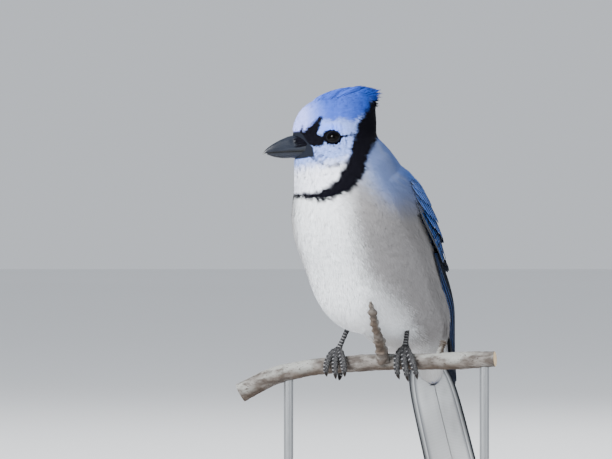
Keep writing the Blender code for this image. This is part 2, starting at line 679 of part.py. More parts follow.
def wing_core(side):
    """The arm of the wing under its coverts, thinner towards its rims."""
    rows = np.array([0.0, 0.05, 0.14, 0.24, 0.33, 0.41])
    columns = np.array([0.02, 0.25, 0.5, 0.75, 0.98])
    along, across = np.meshgrid(rows, columns, indexing="ij")
    rim = np.interp(across, (0, 0.2, 0.8, 1), (0.35, 1, 1, 0.5))
    edge = np.minimum(rim, np.interp(along, (0, 0.12), (0.3, 1)))
    turn = np.array([1, side, 1])
    under = wing_sheet(along, across, 0 * along) * turn
    over = wing_sheet(along, across, 2.2 * edge) * turn
    return plate("wing_core", under, over)


def make_wing(name, side):
    pieces = [wing_core(side)]
    pieces += [flight_feather(number, side) for number in range(len(FLIGHT_TIPS))]
    for i in range(7):  # greater coverts
        tip = 0.475 - 0.004 * (i - 4) ** 2
        pieces.append(covert((0.2, tip), 0.24 + 0.105 * i, 0.155, (1.2, 3.1), 1.2, side))
    for i in range(6):  # median coverts
        tip = 0.265 - 0.004 * (i - 3) ** 2
        pieces.append(covert((0.07, tip), 0.2 + 0.12 * i, 0.165, (0.8, 3.5), 1.1, side))
    for i in range(3):  # primary coverts
        pieces.append(covert((0.16, 0.4 + 0.03 * i), 0.01 + 0.075 * i, 0.12, (1.0, 2.6), 1.0, side))
    for i in range(2):  # alula
        pieces.append(covert((0.06, 0.2 + 0.05 * i), 0.0 + 0.06 * i, 0.1, (0.6, 2.2), 1.0, side))
    return fused(name, pieces)


def perch_point(x):
    line = spline(PERCH_LINE, np.linspace(0, 1, 200))
    return np.array([np.interp(x, line[:, 0], line[:, i]) for i in range(3)])


def make_branch(name="perch_branch", grown=0.0):
    branch = shell(name, from_perch(tube(PERCH_LINE, np.array(PERCH_RADII) + grown, 20, 12)))
    if grown:
        return branch
    spur = shell("spur", from_perch(tube(SPUR_LINE, SPUR_RADII, 8, 8, LEFT)))
    stub = shell("stub", from_perch(tube(STUB_LINE, STUB_RADII, 4, 8, LEFT)))
    return fused(name, [branch, spur, stub])


def toe(centre, path, radii):
    rings = tube(path, radii, 0, 7, (1.0, 0.0, 0.0), SCUTES_ON_TOE)
    return shell("toe", from_perch(centre + rings))


def foot_top(x):
    """The middle of the knuckle where the toes and the tarsus meet."""
    return from_perch(perch_point(x) + [0.0, 0.0, PERCH_RADIUS + GAP + TOE_RADIUS + 1.2])


def make_foot(name, x):
    """Three toes over the front of the perch and one behind, each ending in a hooked claw."""
    centre = perch_point(x)
    reach = PERCH_RADIUS + GAP + TOE_RADIUS
    toes = []
    for spread, lower in zip(TOE_SPREADS, (0.0, 1.3, 0.0)):
        apart = spread * np.array([0.0, 0.45, 0.8, 1.0, 1.08, 1.05])
        away, up = np.transpose(TOE_PATHS[name.split("_")[1]])
        drop = lower * np.array([0.0, 0.0, 0.0, 0.3, 0.7, 1.0])
        toes.append(toe(centre, np.column_stack([apart, away, reach + up - drop]), FRONT_TOE_RADII))
    away, up = np.transpose(BACK_TOE_PATH)
    toes.append(toe(centre, np.column_stack([0 * away, away, reach + up]), BACK_TOE_RADII))
    heel = ball("heel", foot_top(x), HEEL_RADIUS, 8, 10)
    return carved(fused(name, [*toes, heel]), make_branch("grown_branch", GAP))


def make_leg(name, x, ankle):
    """The tarsus from just over the foot up to the plumage, which hides the rest of the leg."""
    start = foot_top(x)
    way = np.array(ankle) - start
    line = (start + unit(way) * 1.2, start + way * 0.66, start + way * 1.25)
    leg = shell(name, tube(line, TARSUS_RADII, 0, 8, (1.0, 0.0, 0.0), SCUTES_ON_TARSUS))
    clear_of_foot = ball("clear_of_foot", start, HEEL_RADIUS + GAP, 8, 10)
    return carved(leg, clear_of_foot, shell("grown_body", body_rings(0.0, NECK_CUT, 24, GAP)))


def stand_to_bird(points):
    """World millimetres to the bird's frame."""
    return (np.asarray(points, float) - BIRD_ORIGIN) @ BIRD_AXES.T


def make_base():
    """A flat board with rounded corners and a softened top edge."""
    angle = np.linspace(0, 2 * math.pi, 40, endpoint=False) + 1e-4
    half = np.array(BASE_SIZE[:2]) / 2 - BASE_CORNER
    thick = BASE_SIZE[2]
    profile = (
        (0.0, 0.0), (0.0, thick - BASE_BEVEL), (0.4 * BASE_BEVEL, thick - 0.3 * BASE_BEVEL),
        (1.4 * BASE_BEVEL, thick),
    )
    rings = []
    for inset, height in profile:
        x = np.sign(np.cos(angle)) * half[0] + (BASE_CORNER - inset) * np.cos(angle)
        y = np.sign(np.sin(angle)) * half[1] + (BASE_CORNER - inset) * np.sin(angle)
        rings.append(np.stack([x, y, 0 * x + height], axis=-1))
    return shell("stand_base", stand_to_bird(np.array(rings)))


def make_rod(name, x):
    """A rod from just over the base to just under the perch."""
    top = to_world(from_perch(perch_point(x))) / MM
    angle = np.linspace(0, 2 * math.pi, 20, endpoint=False)
    circle = top[:2] + ROD_RADIUS * np.stack([np.cos(angle), np.sin(angle)], axis=-1)
    rings = [np.column_stack([circle, 0 * angle + height]) for height in (BASE_SIZE[2] + GAP, top[2])]
    return carved(shell(name, stand_to_bird(np.array(rings))), make_branch("grown_branch", GAP))


def build():
    for old in list(bpy.data.objects):
        bpy.data.objects.remove(old)
    slate = (0.03, 0.033, 0.04)
    horn = (0.06, 0.06, 0.07)
    step = GAP / SPINE_LENGTH
    painted(shell("torso", body_rings(TAIL_CUT, NECK_CUT, 17)), (0.66, 0.66, 0.68), 0.8)
    painted(shell("neck", body_rings(NECK_CUT + step, HEAD_CUT, 5)), (0.45, 0.5, 0.62), 0.8)
    painted(make_head(), (0.3, 0.4, 0.72), 0.8)
    painted(make_upper_bill(), slate, 0.3)
    painted(mandible("bill_lower", LOWER_EDGE, GONYS, True), slate, 0.3)
    painted(make_tail(), (0.45, 0.5, 0.66), 0.7)
    for name, side in (("left", 1), ("right", -1)):
        painted(ball("eye_" + name, eye_place(side)[0], EYE_RADIUS), (0.01, 0.008, 0.006), 0.1)
        painted(make_wing("wing_" + name, side), (0.1, 0.25, 0.7), 0.6)
        painted(make_leg("leg_" + name, FEET[name], ANKLES[name]), horn, 0.5)
        painted(make_foot("foot_" + name, FEET[name]), horn, 0.5)
        painted(make_rod("stand_rod_" + name, ROD_PLACES[name]), (0.3, 0.3, 0.3), 0.3, 1.0)
    painted(make_branch(), (0.4, 0.38, 0.35), 0.9)
    painted(make_base(), (0.25, 0.14, 0.07), 0.5)


build()
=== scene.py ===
"""The looks of a life-size blue jay perched on a cut length of branch on a display stand."""

import math

import bpy
import numpy as np
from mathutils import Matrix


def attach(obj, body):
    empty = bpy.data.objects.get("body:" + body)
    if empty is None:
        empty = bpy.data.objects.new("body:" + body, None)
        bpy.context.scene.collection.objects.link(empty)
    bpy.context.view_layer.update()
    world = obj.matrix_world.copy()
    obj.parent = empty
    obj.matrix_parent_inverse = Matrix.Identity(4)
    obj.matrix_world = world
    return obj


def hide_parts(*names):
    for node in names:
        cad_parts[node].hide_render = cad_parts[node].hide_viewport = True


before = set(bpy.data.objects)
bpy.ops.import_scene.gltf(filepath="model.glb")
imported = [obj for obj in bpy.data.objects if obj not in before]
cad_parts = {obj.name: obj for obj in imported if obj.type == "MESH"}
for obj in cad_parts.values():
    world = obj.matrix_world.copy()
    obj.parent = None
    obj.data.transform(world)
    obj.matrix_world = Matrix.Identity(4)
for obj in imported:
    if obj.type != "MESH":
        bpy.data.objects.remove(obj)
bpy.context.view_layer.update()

# The studio: a pale floor, soft lamps over it, and a long lens level with the bird's
# breast, which keeps the framing of a bird photographed from a few metres away.
PIXEL = 0.00055  # metres of the bird to one pixel of the view
VIEW_PIXELS = 612
VIEW_CENTRE = (-0.0352, -0.014, 0.1969)
VIEW_DISTANCE = 2.5

scene = bpy.context.scene
lens = bpy.data.cameras.new("camera")
lens.sensor_width = 36.0
lens.lens = lens.sensor_width * VIEW_DISTANCE / (VIEW_PIXELS * PIXEL)
lens.clip_end = 100.0
camera = bpy.data.objects.new("camera", lens)
camera.location = (VIEW_CENTRE[0], VIEW_CENTRE[1] - VIEW_DISTANCE, VIEW_CENTRE[2])
camera.rotation_euler = (math.radians(90), 0.0, 0.0)
scene.collection.objects.link(camera)
scene.camera = camera

sky = bpy.data.worlds.new("studio")
sky.use_nodes = True
sky.node_tree.nodes["Background"].inputs["Color"].default_value = (0.80, 0.84, 0.90, 1.0)
sky.node_tree.nodes["Background"].inputs["Strength"].default_value = 0.80
scene.world = sky

LAMPS = (
    # name, place, power, size
    ("key", (-1.5, -1.6, 1.6), 205.0, 0.9),
    ("fill", (1.6, -1.6, 0.7), 14.0, 1.6),
    ("back", (0.7, 1.6, 1.5), 26.0, 1.4),
)
for name, place, power, size in LAMPS:
    lamp = bpy.data.lights.new(name, "AREA")
    lamp.energy = power
    lamp.size = size
    holder = bpy.data.objects.new(name, lamp)
    holder.location = place
    aim = np.array(VIEW_CENTRE) - place
    tilt = math.acos(-aim[2] / np.linalg.norm(aim))
    holder.rotation_euler = (tilt, 0.0, math.atan2(aim[1], aim[0]) - math.pi / 2)
    scene.collection.objects.link(holder)


def finish_of(name, roughness=0.5, specular=0.5, coat=0.0, metallic=0.0, colour=(0.5, 0.5, 0.5)):
    """A new Principled material, its node tree and its shader."""
    made = bpy.data.materials.new(name)
    made.use_nodes = True
    shader = made.node_tree.nodes["Principled BSDF"]
    for socket, value in (
        ("Base Color", (*colour, 1.0)), ("Roughness", roughness), ("Specular IOR Level", specular),
        ("Coat Weight", coat), ("Metallic", metallic),
    ):
        shader.inputs[socket].default_value = value
    return made, made.node_tree, shader


def new_node(kind, inputs, **settings):
    """A node in the tree being built; each input is a constant or the socket it is linked from."""
    node = tree.nodes.new(kind)
    for setting, value in settings.items():
        setattr(node, setting, value)
    for socket, value in inputs.items():
        if isinstance(value, bpy.types.NodeSocket):
            tree.links.new(value, node.inputs[socket])
        else:
            node.inputs[socket].default_value = value
    return node


def noise_node(scale, detail, place, output="Fac"):
    """Soft noise in the tree being built, at the place that a socket gives."""
    return new_node("ShaderNodeTexNoise", {"Scale": scale, "Detail": detail, "Vector": place}).outputs[output]


def mix_node(factor, a, b):
    """Colour a where the factor is 0 and b where it is 1; each is a colour or a socket."""
    a, b = ((*c, 1.0) if isinstance(c, tuple) else c for c in (a, b))
    return new_node("ShaderNodeMix", {"Factor": factor, 6: a, 7: b}, data_type="RGBA").outputs[2]


def object_place():
    """The place on the object, in metres."""
    return new_node("ShaderNodeTexCoord", {}).outputs["Object"]


mesh = bpy.data.meshes.new("floor")
mesh.from_pydata([(-20, -20, 0), (20, -20, 0), (20, 20, 0), (-20, 20, 0)], [], [(0, 1, 2, 3)])
floor = bpy.data.objects.new("floor", mesh)
scene.collection.objects.link(floor)
floor_finish, tree, shader = finish_of("pale_floor", 0.9)
grain = new_node("ShaderNodeTexNoise", {"Scale": 9.0}).outputs["Fac"]
tree.links.new(mix_node(grain, (0.82, 0.83, 0.84), (0.87, 0.88, 0.89)), shader.inputs["Base Color"])
floor.data.materials.append(floor_finish)

# The body under its feathers: one skin from the bill's root over the head, down the neck
# and the body to the tail. Its form is blended from ellipsoids and sunk by the coat's depth.
MM = 0.001
BIRD_PLACE = np.array([0.0, -14.0, 124.0])  # middle of the perch between the feet
BODY_YAW = math.radians(40)
HEAD_YAW = math.radians(75)
HEAD_CENTRE = np.array([22.0, -6.3, 124.0])
BODY_FORMS = (
    # centre forward and up, pitch, half sizes along, sideways and through
    ((10.2, 75.6), 61, (44.1, 35.2, 36.5)),  # trunk
    ((-3.6, 49.5), 48, (31.5, 31.8, 36.9)),  # belly
    ((-26.5, 30.5), 65, (29.3, 27.5, 22.8)),  # rump
    ((-48.0, 11.0), 69, (26.0, 13.6, 9.3)),  # tail coverts
    ((17.4, 103.5), 67, (16.2, 20.0, 26.2)),  # neck
)
HEAD_FORMS = (
    ((-1.8, 9.9), 0, (17.4, 15.6, 11.2)),  # cranium
    ((-1.0, -3.0), 0, (14.5, 15.2, 13.0)),  # cheeks
    ((12.0, -2.8), 0, (12.6, 6.0, 15.0)),  # face
    ((0.0, -15.0), 0, (17.5, 14.2, 14.5)),  # throat
    ((-10.5, 9.5), 0, (11.0, 9.5, 11.0)),  # nape
    ((10.0, 6.0), 0, (10.5, 5.5, 11.0)),  # forehead
)
CREST_FORM = ((-6.5, 17.0), -24, (17.5, 7.6, 8.0))
BODY_BLEND = 14.0
HEAD_BLEND = 8.0
CREST_BLEND = 7.0
SKIN_KNOTS = (
    # section's centre forward, left, up; its tilt back from upright; its yaw off the body;
    # and how deep the skin lies under the feathers' tips
    (39.2, -18.4, 116.5, 29, 35, 0.5),
    (31.8, -13.2, 118.0, 39, 35, 0.8),
    (24.5, -8.0, 117.0, 45, 32, 1.2),
    (19.5, -4.6, 110.0, 53, 22, 1.6),
    (13.0, 0.0, 97.0, 64, 8, 2.2),
    (5.0, 0.0, 76.0, 65, 0, 2.4),
    (-7.0, 0.0, 55.0, 57, 0, 2.4),
    (-26.0, 0.0, 33.0, 56, 0, 2.2),
    (-45.5, 0.0, 14.5, 61, 0, 1.4),
    (-54.0, 0.0, -5.0, 66, 0, 1.0),
)
SKIN_ROWS = 300
SKIN_SECTORS = 220
CAP_ROWS = 36
CAP_LEANS = (88.5, 6)  # degrees that a cap's rays lean out, at its pole and at the first section
HALVINGS = 20


def unit(vector):
    return vector / np.maximum(np.linalg.norm(vector, axis=-1, keepdims=True), 1e-9)


def facing(yaw):
    """Rows are forward, left and up for something turned from the viewer to the viewer's left."""
    forward = np.array([-math.sin(yaw), -math.cos(yaw), 0.0])
    up = np.array([0.0, 0.0, 1.0])
    return np.array([forward, np.cross(up, forward), up])


BIRD_AXES = facing(BODY_YAW)
HEAD_TURN = facing(HEAD_YAW) @ BIRD_AXES.T


def to_world(points):
    """Bird's frame in millimetres to the world in metres."""
    return (np.asarray(points, float) @ BIRD_AXES + BIRD_PLACE) * MM


def from_head(points):
    return np.asarray(points, float) @ HEAD_TURN + HEAD_CENTRE


def in_head(points):
    return (points - HEAD_CENTRE) @ HEAD_TURN.T


def ellipsoid(points, form):
    """About the distance outside: k (k - 1) / |grad k|, k being the scaled radius."""
    (forward, up), pitch, half_sizes = form
    tilt = math.radians(pitch)
    x = points[..., 0] - forward
    z = points[..., 2] - up
    local = (x * math.cos(tilt) + z * math.sin(tilt), points[..., 1], z * math.cos(tilt) - x * math.sin(tilt))
    scaled = [a / h for a, h in zip(local, half_sizes)]
    k = np.sqrt(scaled[0] ** 2 + scaled[1] ** 2 + scaled[2] ** 2)
    slope = np.sqrt(sum((a / h) ** 2 for a, h in zip(scaled, half_sizes)))
    return k * (k - 1) / np.maximum(slope, 1e-9)


def blended(a, b, softness):
    """The smaller of two distances, with the crease between them rounded off."""
    share = np.clip(0.5 + 0.5 * (b - a) / softness, 0, 1)
    return b * (1 - share) + a * share - softness * share * (1 - share)


def plumage(points):
    """How far points of the bird's frame lie outside the feathers' tips."""
    body = ellipsoid(points, BODY_FORMS[0])
    for form in BODY_FORMS[1:]:
        body = blended(body, ellipsoid(points, form), BODY_BLEND)
    local = in_head(points)
    head = ellipsoid(local, HEAD_FORMS[0])
    for form in HEAD_FORMS[1:]:
        head = blended(head, ellipsoid(local, form), HEAD_BLEND)
    head = blended(head, ellipsoid(local, CREST_FORM), CREST_BLEND)
    return blended(body, head, BODY_BLEND)


def outward(points):
    """The unit gradient of the distance, by central differences."""
    steps = 0.4 * np.eye(3)
    return unit(np.stack([plumage(points + e) - plumage(points - e) for e in steps], axis=-1))


def through(knots, shares):
    """A Catmull-Rom curve through the knots, at shares of the number of spans."""
    p = np.asarray(knots, float)
    p = np.vstack([2 * p[0] - p[1], p, 2 * p[-1] - p[-2]])
    place = np.clip(np.asarray(shares, float), 0, 1) * (len(p) - 3)
    i = np.minimum(place.astype(int), len(p) - 4)
    t = (place - i)[:, None]
    a, b, c, d = p[i], p[i + 1], p[i + 2], p[i + 3]
    return 0.5 * (2 * b + (c - a) * t + (2 * a - 5 * b + 4 * c - d) * t**2 + (3 * b - a - 3 * c + d) * t**3)


def grid_quads(rows, columns):
    """Corner numbers of the quads of a grid that is closed round its columns."""
    r = np.arange(rows - 1)[:, None] * columns
    c = np.arange(columns)[None]
    d = (c + 1) % columns
    return np.stack([r + c, r + d, r + columns + d, r + columns + c], axis=-1).reshape(-1, 4)


def made_mesh(name, points, faces, caps=()):
    """An object from points of the bird's frame, equal faces as an array, and cap polygons.

    The volume inside, summed over the faces, tells which way they point; all end up outwards.
    """
    faces = np.asarray(faces)
    corner = to_world(points - points.mean(axis=0))[faces]
    face_way = np.cross(corner[:, 2] - corner[:, 0], corner[:, -1] - corner[:, 1])
    if np.sum(face_way * (corner.mean(axis=1) - to_world(np.zeros(3)))) < 0:
        faces, caps = faces[:, ::-1], [np.asarray(cap)[::-1] for cap in caps]
    corners = np.concatenate([faces.ravel(), *[np.asarray(cap) for cap in caps]]).astype(np.int32)
    sizes = [len(cap) for cap in caps]
    sizes = np.concatenate([np.full(len(faces), faces.shape[1]), sizes]).astype(np.int32)
    shape = bpy.data.meshes.new(name)
    shape.vertices.add(len(points))
    shape.vertices.foreach_set("co", to_world(points).astype(np.float32).ravel())
    shape.loops.add(len(corners))
    shape.loops.foreach_set("vertex_index", corners)
    shape.polygons.add(len(sizes))
    shape.polygons.foreach_set("loop_start", np.concatenate([[0], np.cumsum(sizes)[:-1]]).astype(np.int32))
    shape.update(calc_edges=True)
    shape.shade_smooth()
    piece = bpy.data.objects.new(name, shape)
    scene.collection.objects.link(piece)
    return piece


def closed_tube(name, rings):
    """A closed surface from rings of points, with a polygon over each end."""
    rows, columns = rings.shape[:2]
    caps = (np.arange(columns)[::-1], (rows - 1) * columns + np.arange(columns))
    return made_mesh(name, rings.reshape(-1, 3), grid_quads(rows, columns), caps)


def keep(piece, slot, *nodes):
    """What every piece needs: its body, and the solids it stands for hidden; slot is not used."""
    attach(piece, "root")
    if nodes:
        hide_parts(*nodes)
    return piece


def add_uv(piece, coordinates, by_corner=False):
    """The map for the bake, from one place for each point or for each face corner."""
    uv = piece.data.uv_layers.new(name="OFBake")
    if not by_corner:
        index = np.empty(len(piece.data.loops), np.int32)
        piece.data.loops.foreach_get("vertex_index", index)
        coordinates = coordinates[index]
    uv.data.foreach_set("uv", coordinates.astype(np.float32).ravel())


def add_values(piece, name, kind, values, domain="POINT"):
    """An attribute of numbers, vectors or colours, one for each point or face corner."""
    layers = piece.data.color_attributes if kind == "FLOAT_COLOR" else piece.data.attributes
    part = {"FLOAT": "value", "FLOAT_VECTOR": "vector", "FLOAT_COLOR": "color"}[kind]
    layers.new(name, kind, domain).data.foreach_set(part, values.astype(np.float32).ravel())


def add_colour(piece, colours, domain="POINT"):
    """The attribute that holds the feathers' own colour."""
    rgba = np.concatenate([colours, np.ones_like(colours[..., :1])], axis=-1)
    add_values(piece, "tint", "FLOAT_COLOR", rgba, domain)


def skin_sections():
    """Centres and ray directions of the skin's rows: a fan at each end and sections between."""
    share = np.linspace(0, 1, SKIN_ROWS)
    knots = through(SKIN_KNOTS, share)
    pole, edge = CAP_LEANS
    lean = np.concatenate([np.linspace(pole, edge, CAP_ROWS), 0 * share, np.linspace(-edge, -pole, CAP_ROWS)])
    knots = np.vstack([np.repeat(knots[:1], CAP_ROWS, 0), knots, np.repeat(knots[-1:], CAP_ROWS, 0)])
    centre, depth = knots[:, :3], knots[:, 5]
    tilt, yaw = np.radians(knots[:, 3]), np.radians(knots[:, 4])
    zero = 0 * yaw
    ahead = np.stack([np.cos(yaw), -np.sin(yaw), zero], axis=1)
    left = np.stack([np.sin(yaw), np.cos(yaw), zero], axis=1)
    top = np.cos(tilt)[:, None] * [0.0, 0.0, 1.0] - np.sin(tilt)[:, None] * ahead
    front = np.cross(left, top)
    turn = np.linspace(0, 2 * math.pi, SKIN_SECTORS, endpoint=False)[None, :, None]
    across = top[:, None] * np.cos(turn) + left[:, None] * np.sin(turn)
    lean = np.radians(lean)[:, None, None]
    rays = across * np.cos(lean) + front[:, None] * np.sin(lean)
    return centre[:, None] + 0 * rays, rays, depth[:, None] + 0 * rays[..., 0]


def cast(origins, rays, depth, reach=62.0):
    """Where rays cross the surface that lies depth under the feathers' tips, by halving."""
    near = np.full(depth.shape, 0.5)
    far = np.full(depth.shape, reach)
    for _ in range(HALVINGS):
        middle = (near + far) / 2
        inside = plumage(origins + rays * middle[..., None]) < -depth
        near = np.where(inside, middle, near)
        far = np.where(inside, far, middle)
    return origins + rays * far[..., None]


skin_centres, skin_rays, skin_depth = skin_sections()
skin_points = cast(skin_centres, skin_rays, skin_depth)
skin_normals = outward(skin_points)
rows, columns = skin_points.shape[:2]
skin_flow = unit(np.gradient(skin_points, axis=0))
skin_uv = np.stack(np.meshgrid(np.linspace(0.02, 0.98, columns), np.linspace(0.02, 0.98, rows)), axis=-1)

# The markings, drawn by formula on the head's and the body's own frames: a blue crown, black
# lores and necklace, pale blue cheeks, a white throat and breast, grey sides that are partly
# painted shade, a slate-blue nape.
EYE_PLACE = np.array([5.8, 16.0, -1.1])
BLACK = np.array([0.0035, 0.0035, 0.0060])
BARE_HORN = np.array([0.0100, 0.0120, 0.0180])
CROWN_BLUE = np.array([0.045, 0.098, 0.48])
CREST_BLUE = np.array([0.018, 0.060, 0.36])
FOREHEAD = np.array([0.36, 0.42, 0.95])
CHEEK = np.array([0.25, 0.36, 0.80])
THROAT = np.array([0.82, 0.85, 0.95])
NAPE = np.array([0.13, 0.18, 0.36])
NECK_SIDE = np.array([0.34, 0.41, 0.58])
MANTLE = np.array([0.060, 0.115, 0.33])
RUMP = np.array([0.040, 0.095, 0.32])
# The grey sides and the vent are partly the plumage's own grey and partly painted shade
FLANK_GREY_AND_SHADE = np.array([0.218, 0.212, 0.214])
BREAST = np.array([0.80, 0.83, 0.86])
VENT_GREY_AND_SHADE = np.array([0.52, 0.54, 0.55])
BODY_AXIS = ((11.0, 30.5, 49.5, 75.6, 103.5), (-48.0, -26.5, -3.6, 10.2, 17.4))
NECKLACE = (
    # forward and up on the head, and half width
    (-20.0, 13.0, 7.0), (-19.5, 7.0, 8.0), (-15.2, 3.0, 7.8), (-11.4, -4.0, 5.8), (-7.3, -10.6, 4.9),
    (-5.0, -16.5, 5.4), (-1.6, -23.0, 5.4), (2.8, -27.8, 4.6), (8.5, -31.4, 3.4), (14.0, -33.4, 2.6),
    (18.5, -33.4, 1.8), (22.0, -33.0, 1.2), (28.0, -31.4, 0.9),
)
NECKLACE_MIDDLE = (
    # up on the head at each place forward: above it is the head, below it the body
    (-40.0, 4.0), (-16.0, 4.0), (-11.4, -4.0), (-7.3, -10.6), (-5.0, -16.5), (-1.6, -23.0), (2.8, -27.8),
    (8.5, -31.4), (14.0, -33.4), (21.0, -33.2), (28.0, -31.4), (60.0, -20.0),
)
LORES = ((19.0, 0.0, 1.6), (16.5, -1.2, 3.6), (13.2, -2.6, 3.8), (10.6, -2.4, 1.6))
BROW_SPIKE = ((16.5, 1.0, 2.9), (13.8, 4.5, 2.4), (11.2, 9.3, 1.0))
BILL_LINE = ((25.0, 0.4, 1.8), (17.5, 0.2, 2.4))
FOREHEAD_SPOT = ((20.6, 1.0, 1.3), (19.9, 5.9, 0.3))
EYE_LINE = ((3.0, -0.6, 0.9), (-2.1, -0.4, 0.7), (-8.0, 1.1, 0.9))
MALAR_LINE = (
    (17.0, -12.2, 0.5), (14.1, -14.1, 0.8), (11.8, -16.1, 0.55), (8.3, -17.4, 0.7), (2.6, -16.7, 0.5),
    (-1.0, -15.5, 0.3),
)
CROWN_EDGE = (
    (-30.0, 23.0), (-18.5, 19.5), (-15.5, 12.5), (-6.5, 8.0), (0.4, 9.0), (6.2, 8.8), (12.5, 8.6),
    (16.0, 4.5), (20.0, 2.0), (26.0, 1.0),
)
SKIN_PAINTED_SHADE = 0.88  # painted shade: the skin that shows between the feathers is darkened by this


def along_line(x, y, line):
    """How far points lie outside a line that has a half width at each of its points."""
    found = np.full(x.shape, 1e3)
    line = np.array(line)
    for (ax, ay, aw), (bx, by, bw) in zip(line[:-1], line[1:]):
        length = (bx - ax) ** 2 + (by - ay) ** 2
        t = np.clip(((x - ax) * (bx - ax) + (y - ay) * (by - ay)) / length, 0, 1)
        away = np.hypot(x - ax - t * (bx - ax), y - ay - t * (by - ay))
        found = np.minimum(found, away - aw - t * (bw - aw))
    return found


def waves(points, size, seed=0.0):
    """Smooth variation from -1 to 1: three crossed sines of unlike lengths."""
    x, y, z = (points / size).T if points.ndim == 2 else np.moveaxis(points / size, -1, 0)
    a = np.sin(x * 1.3 + 2.1 * np.sin(y * 0.9 + seed) + seed)
    b = np.sin(y * 1.7 + 1.7 * np.sin(z * 1.1 - seed) + 2 * seed)
    c = np.sin(z * 1.5 + 1.9 * np.sin(x * 1.2 + seed) - seed)
    return (a + b + c) / 3


def step(value, soft):
    """1 where value is well under 0, and 0 where it is well over, softly between."""
    t = np.clip(0.5 - value / soft, 0, 1)
    return t * t * (3 - 2 * t)


def mixed(colours, over, amount):
    """Colours with another laid over them, by an amount from 0 to 1."""
    return colours * (1 - amount[..., None]) + over * amount[..., None]


def bare_horn(f, u):
    """1 where the bill's horn runs back between the lores and the chin, softly 0 outside."""
    above = u - np.interp(f, (15.0, 18.0, 20.0, 22.0), (-6.8, -3.2, 0.4, 2.5))
    below = np.interp(f, (15.0, 22.0), (-11.6, -12.8)) - u
    return step(np.maximum(np.maximum(above, below), 15.4 - f), 0.8)


def crown_colour(f):
    """Nearly white over the bill, through clear blue on the crown, to deep blue at the crest."""
    blue = np.clip((18.0 - f) / 11.0, 0, 1)
    crown = FOREHEAD * (CROWN_BLUE / FOREHEAD) ** blue[..., None]
    return mixed(crown, CREST_BLUE, np.clip((-3.0 - f) / 13.0, 0, 1))


def markings(points):
    """The plumage's colour at points of the bird's frame."""
    head = in_head(points)
    f, u = head[..., 0], head[..., 2]
    forward, left, up = points[..., 0], points[..., 1], points[..., 2]
    colours = np.ones(points.shape) * BREAST
    # The spine's line from the neck to the tail parts the back from the breast
    spine = np.interp(up, (-7, 12, 33, 55, 76, 97, 112), (-55, -47.5, -27, -7, 5, 13, 17))
    behind = spine - forward + 3.0 * waves(points, 9.0, 2.0)
    # The breast is palest down its middle; grey sides and vent are part own grey, part painted shade
    aside = np.degrees(np.arctan2(np.abs(left), forward - np.interp(up, *BODY_AXIS)))
    grey = step(34.0 + 6.0 * waves(points, 13.0, 1.0) - aside, 34.0)
    colours = mixed(mixed(colours, FLANK_GREY_AND_SHADE, grey), VENT_GREY_AND_SHADE, step(up - 6.0, 22.0))
    back = step(np.interp(up, (-15, 0, 20, 40, 60, 80, 100), (2, 3, 12, 17, 14, 9, 4)) - behind, 8.0)
    colours = mixed(colours, MANTLE + (RUMP - MANTLE) * step(up - 30, 40.0)[..., None], back)
    nape = step(f + 4.0 - 0.55 * (u + 22), 20.0) * step(-28 - u, 24.0)
    colours = mixed(colours, NECK_SIDE, np.clip(nape, 0, 1) * (1 - back))
    nape = step(f + 10.5 - 0.45 * (u + 22), 14.0) * step(-37 - u, 22.0)
    colours = mixed(colours, NAPE, np.clip(nape, 0, 1) * (1 - 0.5 * back))
    # On the head everything is drawn in its side view
    crown = crown_colour(f)
    edge = np.interp(f, *np.transpose(CROWN_EDGE))
    ragged = waves(head, 1.2, 3.0)
    throat = step(u + 14.0 + 0.16 * (f + 4.0) + 1.5 * ragged, 9.0)
    face = CHEEK + (THROAT - CHEEK) * throat[..., None]
    face = mixed(face, crown, step(edge - u + 0.4 * ragged, 1.6))
    bars = 0.5 + 0.5 * np.sin(2.9 * u + 1.4 * f + 2.0 * waves(head, 2.0, 5.0))
    gape = step(along_line(f, u, ((16.0, -9.5, 2.6), (10.5, -12.5, 1.8))), 1.5)
    face = mixed(face, BLACK * 8, 0.6 * gape * step(0.45 - bars, 0.5))
    face = mixed(face, BLACK * 6, 0.8 * step(along_line(f, u, MALAR_LINE) + 0.15 * ragged, 0.5))
    above = np.interp(f, *np.transpose(NECKLACE_MIDDLE))
    on_head = step(above - u, 0.6) * (f > -40)
    brow = np.exp(-(((f - 6.5) / 6.0) ** 2) - ((u - 4.4) / 2.4) ** 2)
    face = mixed(face, CROWN_BLUE * 3.0, 0.75 * brow * step(u - edge, 1.0))
    colours = mixed(colours, face, on_head)
    black = step(along_line(f, u, NECKLACE) + 0.5 * waves(head, 1.1, 9.0), 0.8)
    crest = step(edge + 2.0 + 0.5 * ragged - u, 1.0)
    black = np.where(f < 8, black * (1 - crest), black)
    for line in (LORES, BROW_SPIKE, BILL_LINE, FOREHEAD_SPOT, EYE_LINE):
        black = np.maximum(black, step(along_line(f, u, line) + 0.25 * ragged, 0.8) * (u > -20))
    black = np.maximum(black, step(np.hypot(f - EYE_PLACE[0], u - EYE_PLACE[2]) - 4.6, 0.6))
    colours = mixed(colours, BLACK, np.clip(black, 0, 1))
    return mixed(colours, BARE_HORN, bare_horn(f, u))


def attribute(name, output="Fac"):
    """A named attribute of the mesh, as its number, vector or colour."""
    return new_node("ShaderNodeAttribute", {}, attribute_name=name).outputs[output]


def shaded(colour, tone):
    """A colour made brighter or darker by a tone about 1."""
    return new_node("ShaderNodeVectorMath", {0: colour, "Scale": tone}, operation="SCALE").outputs["Vector"]


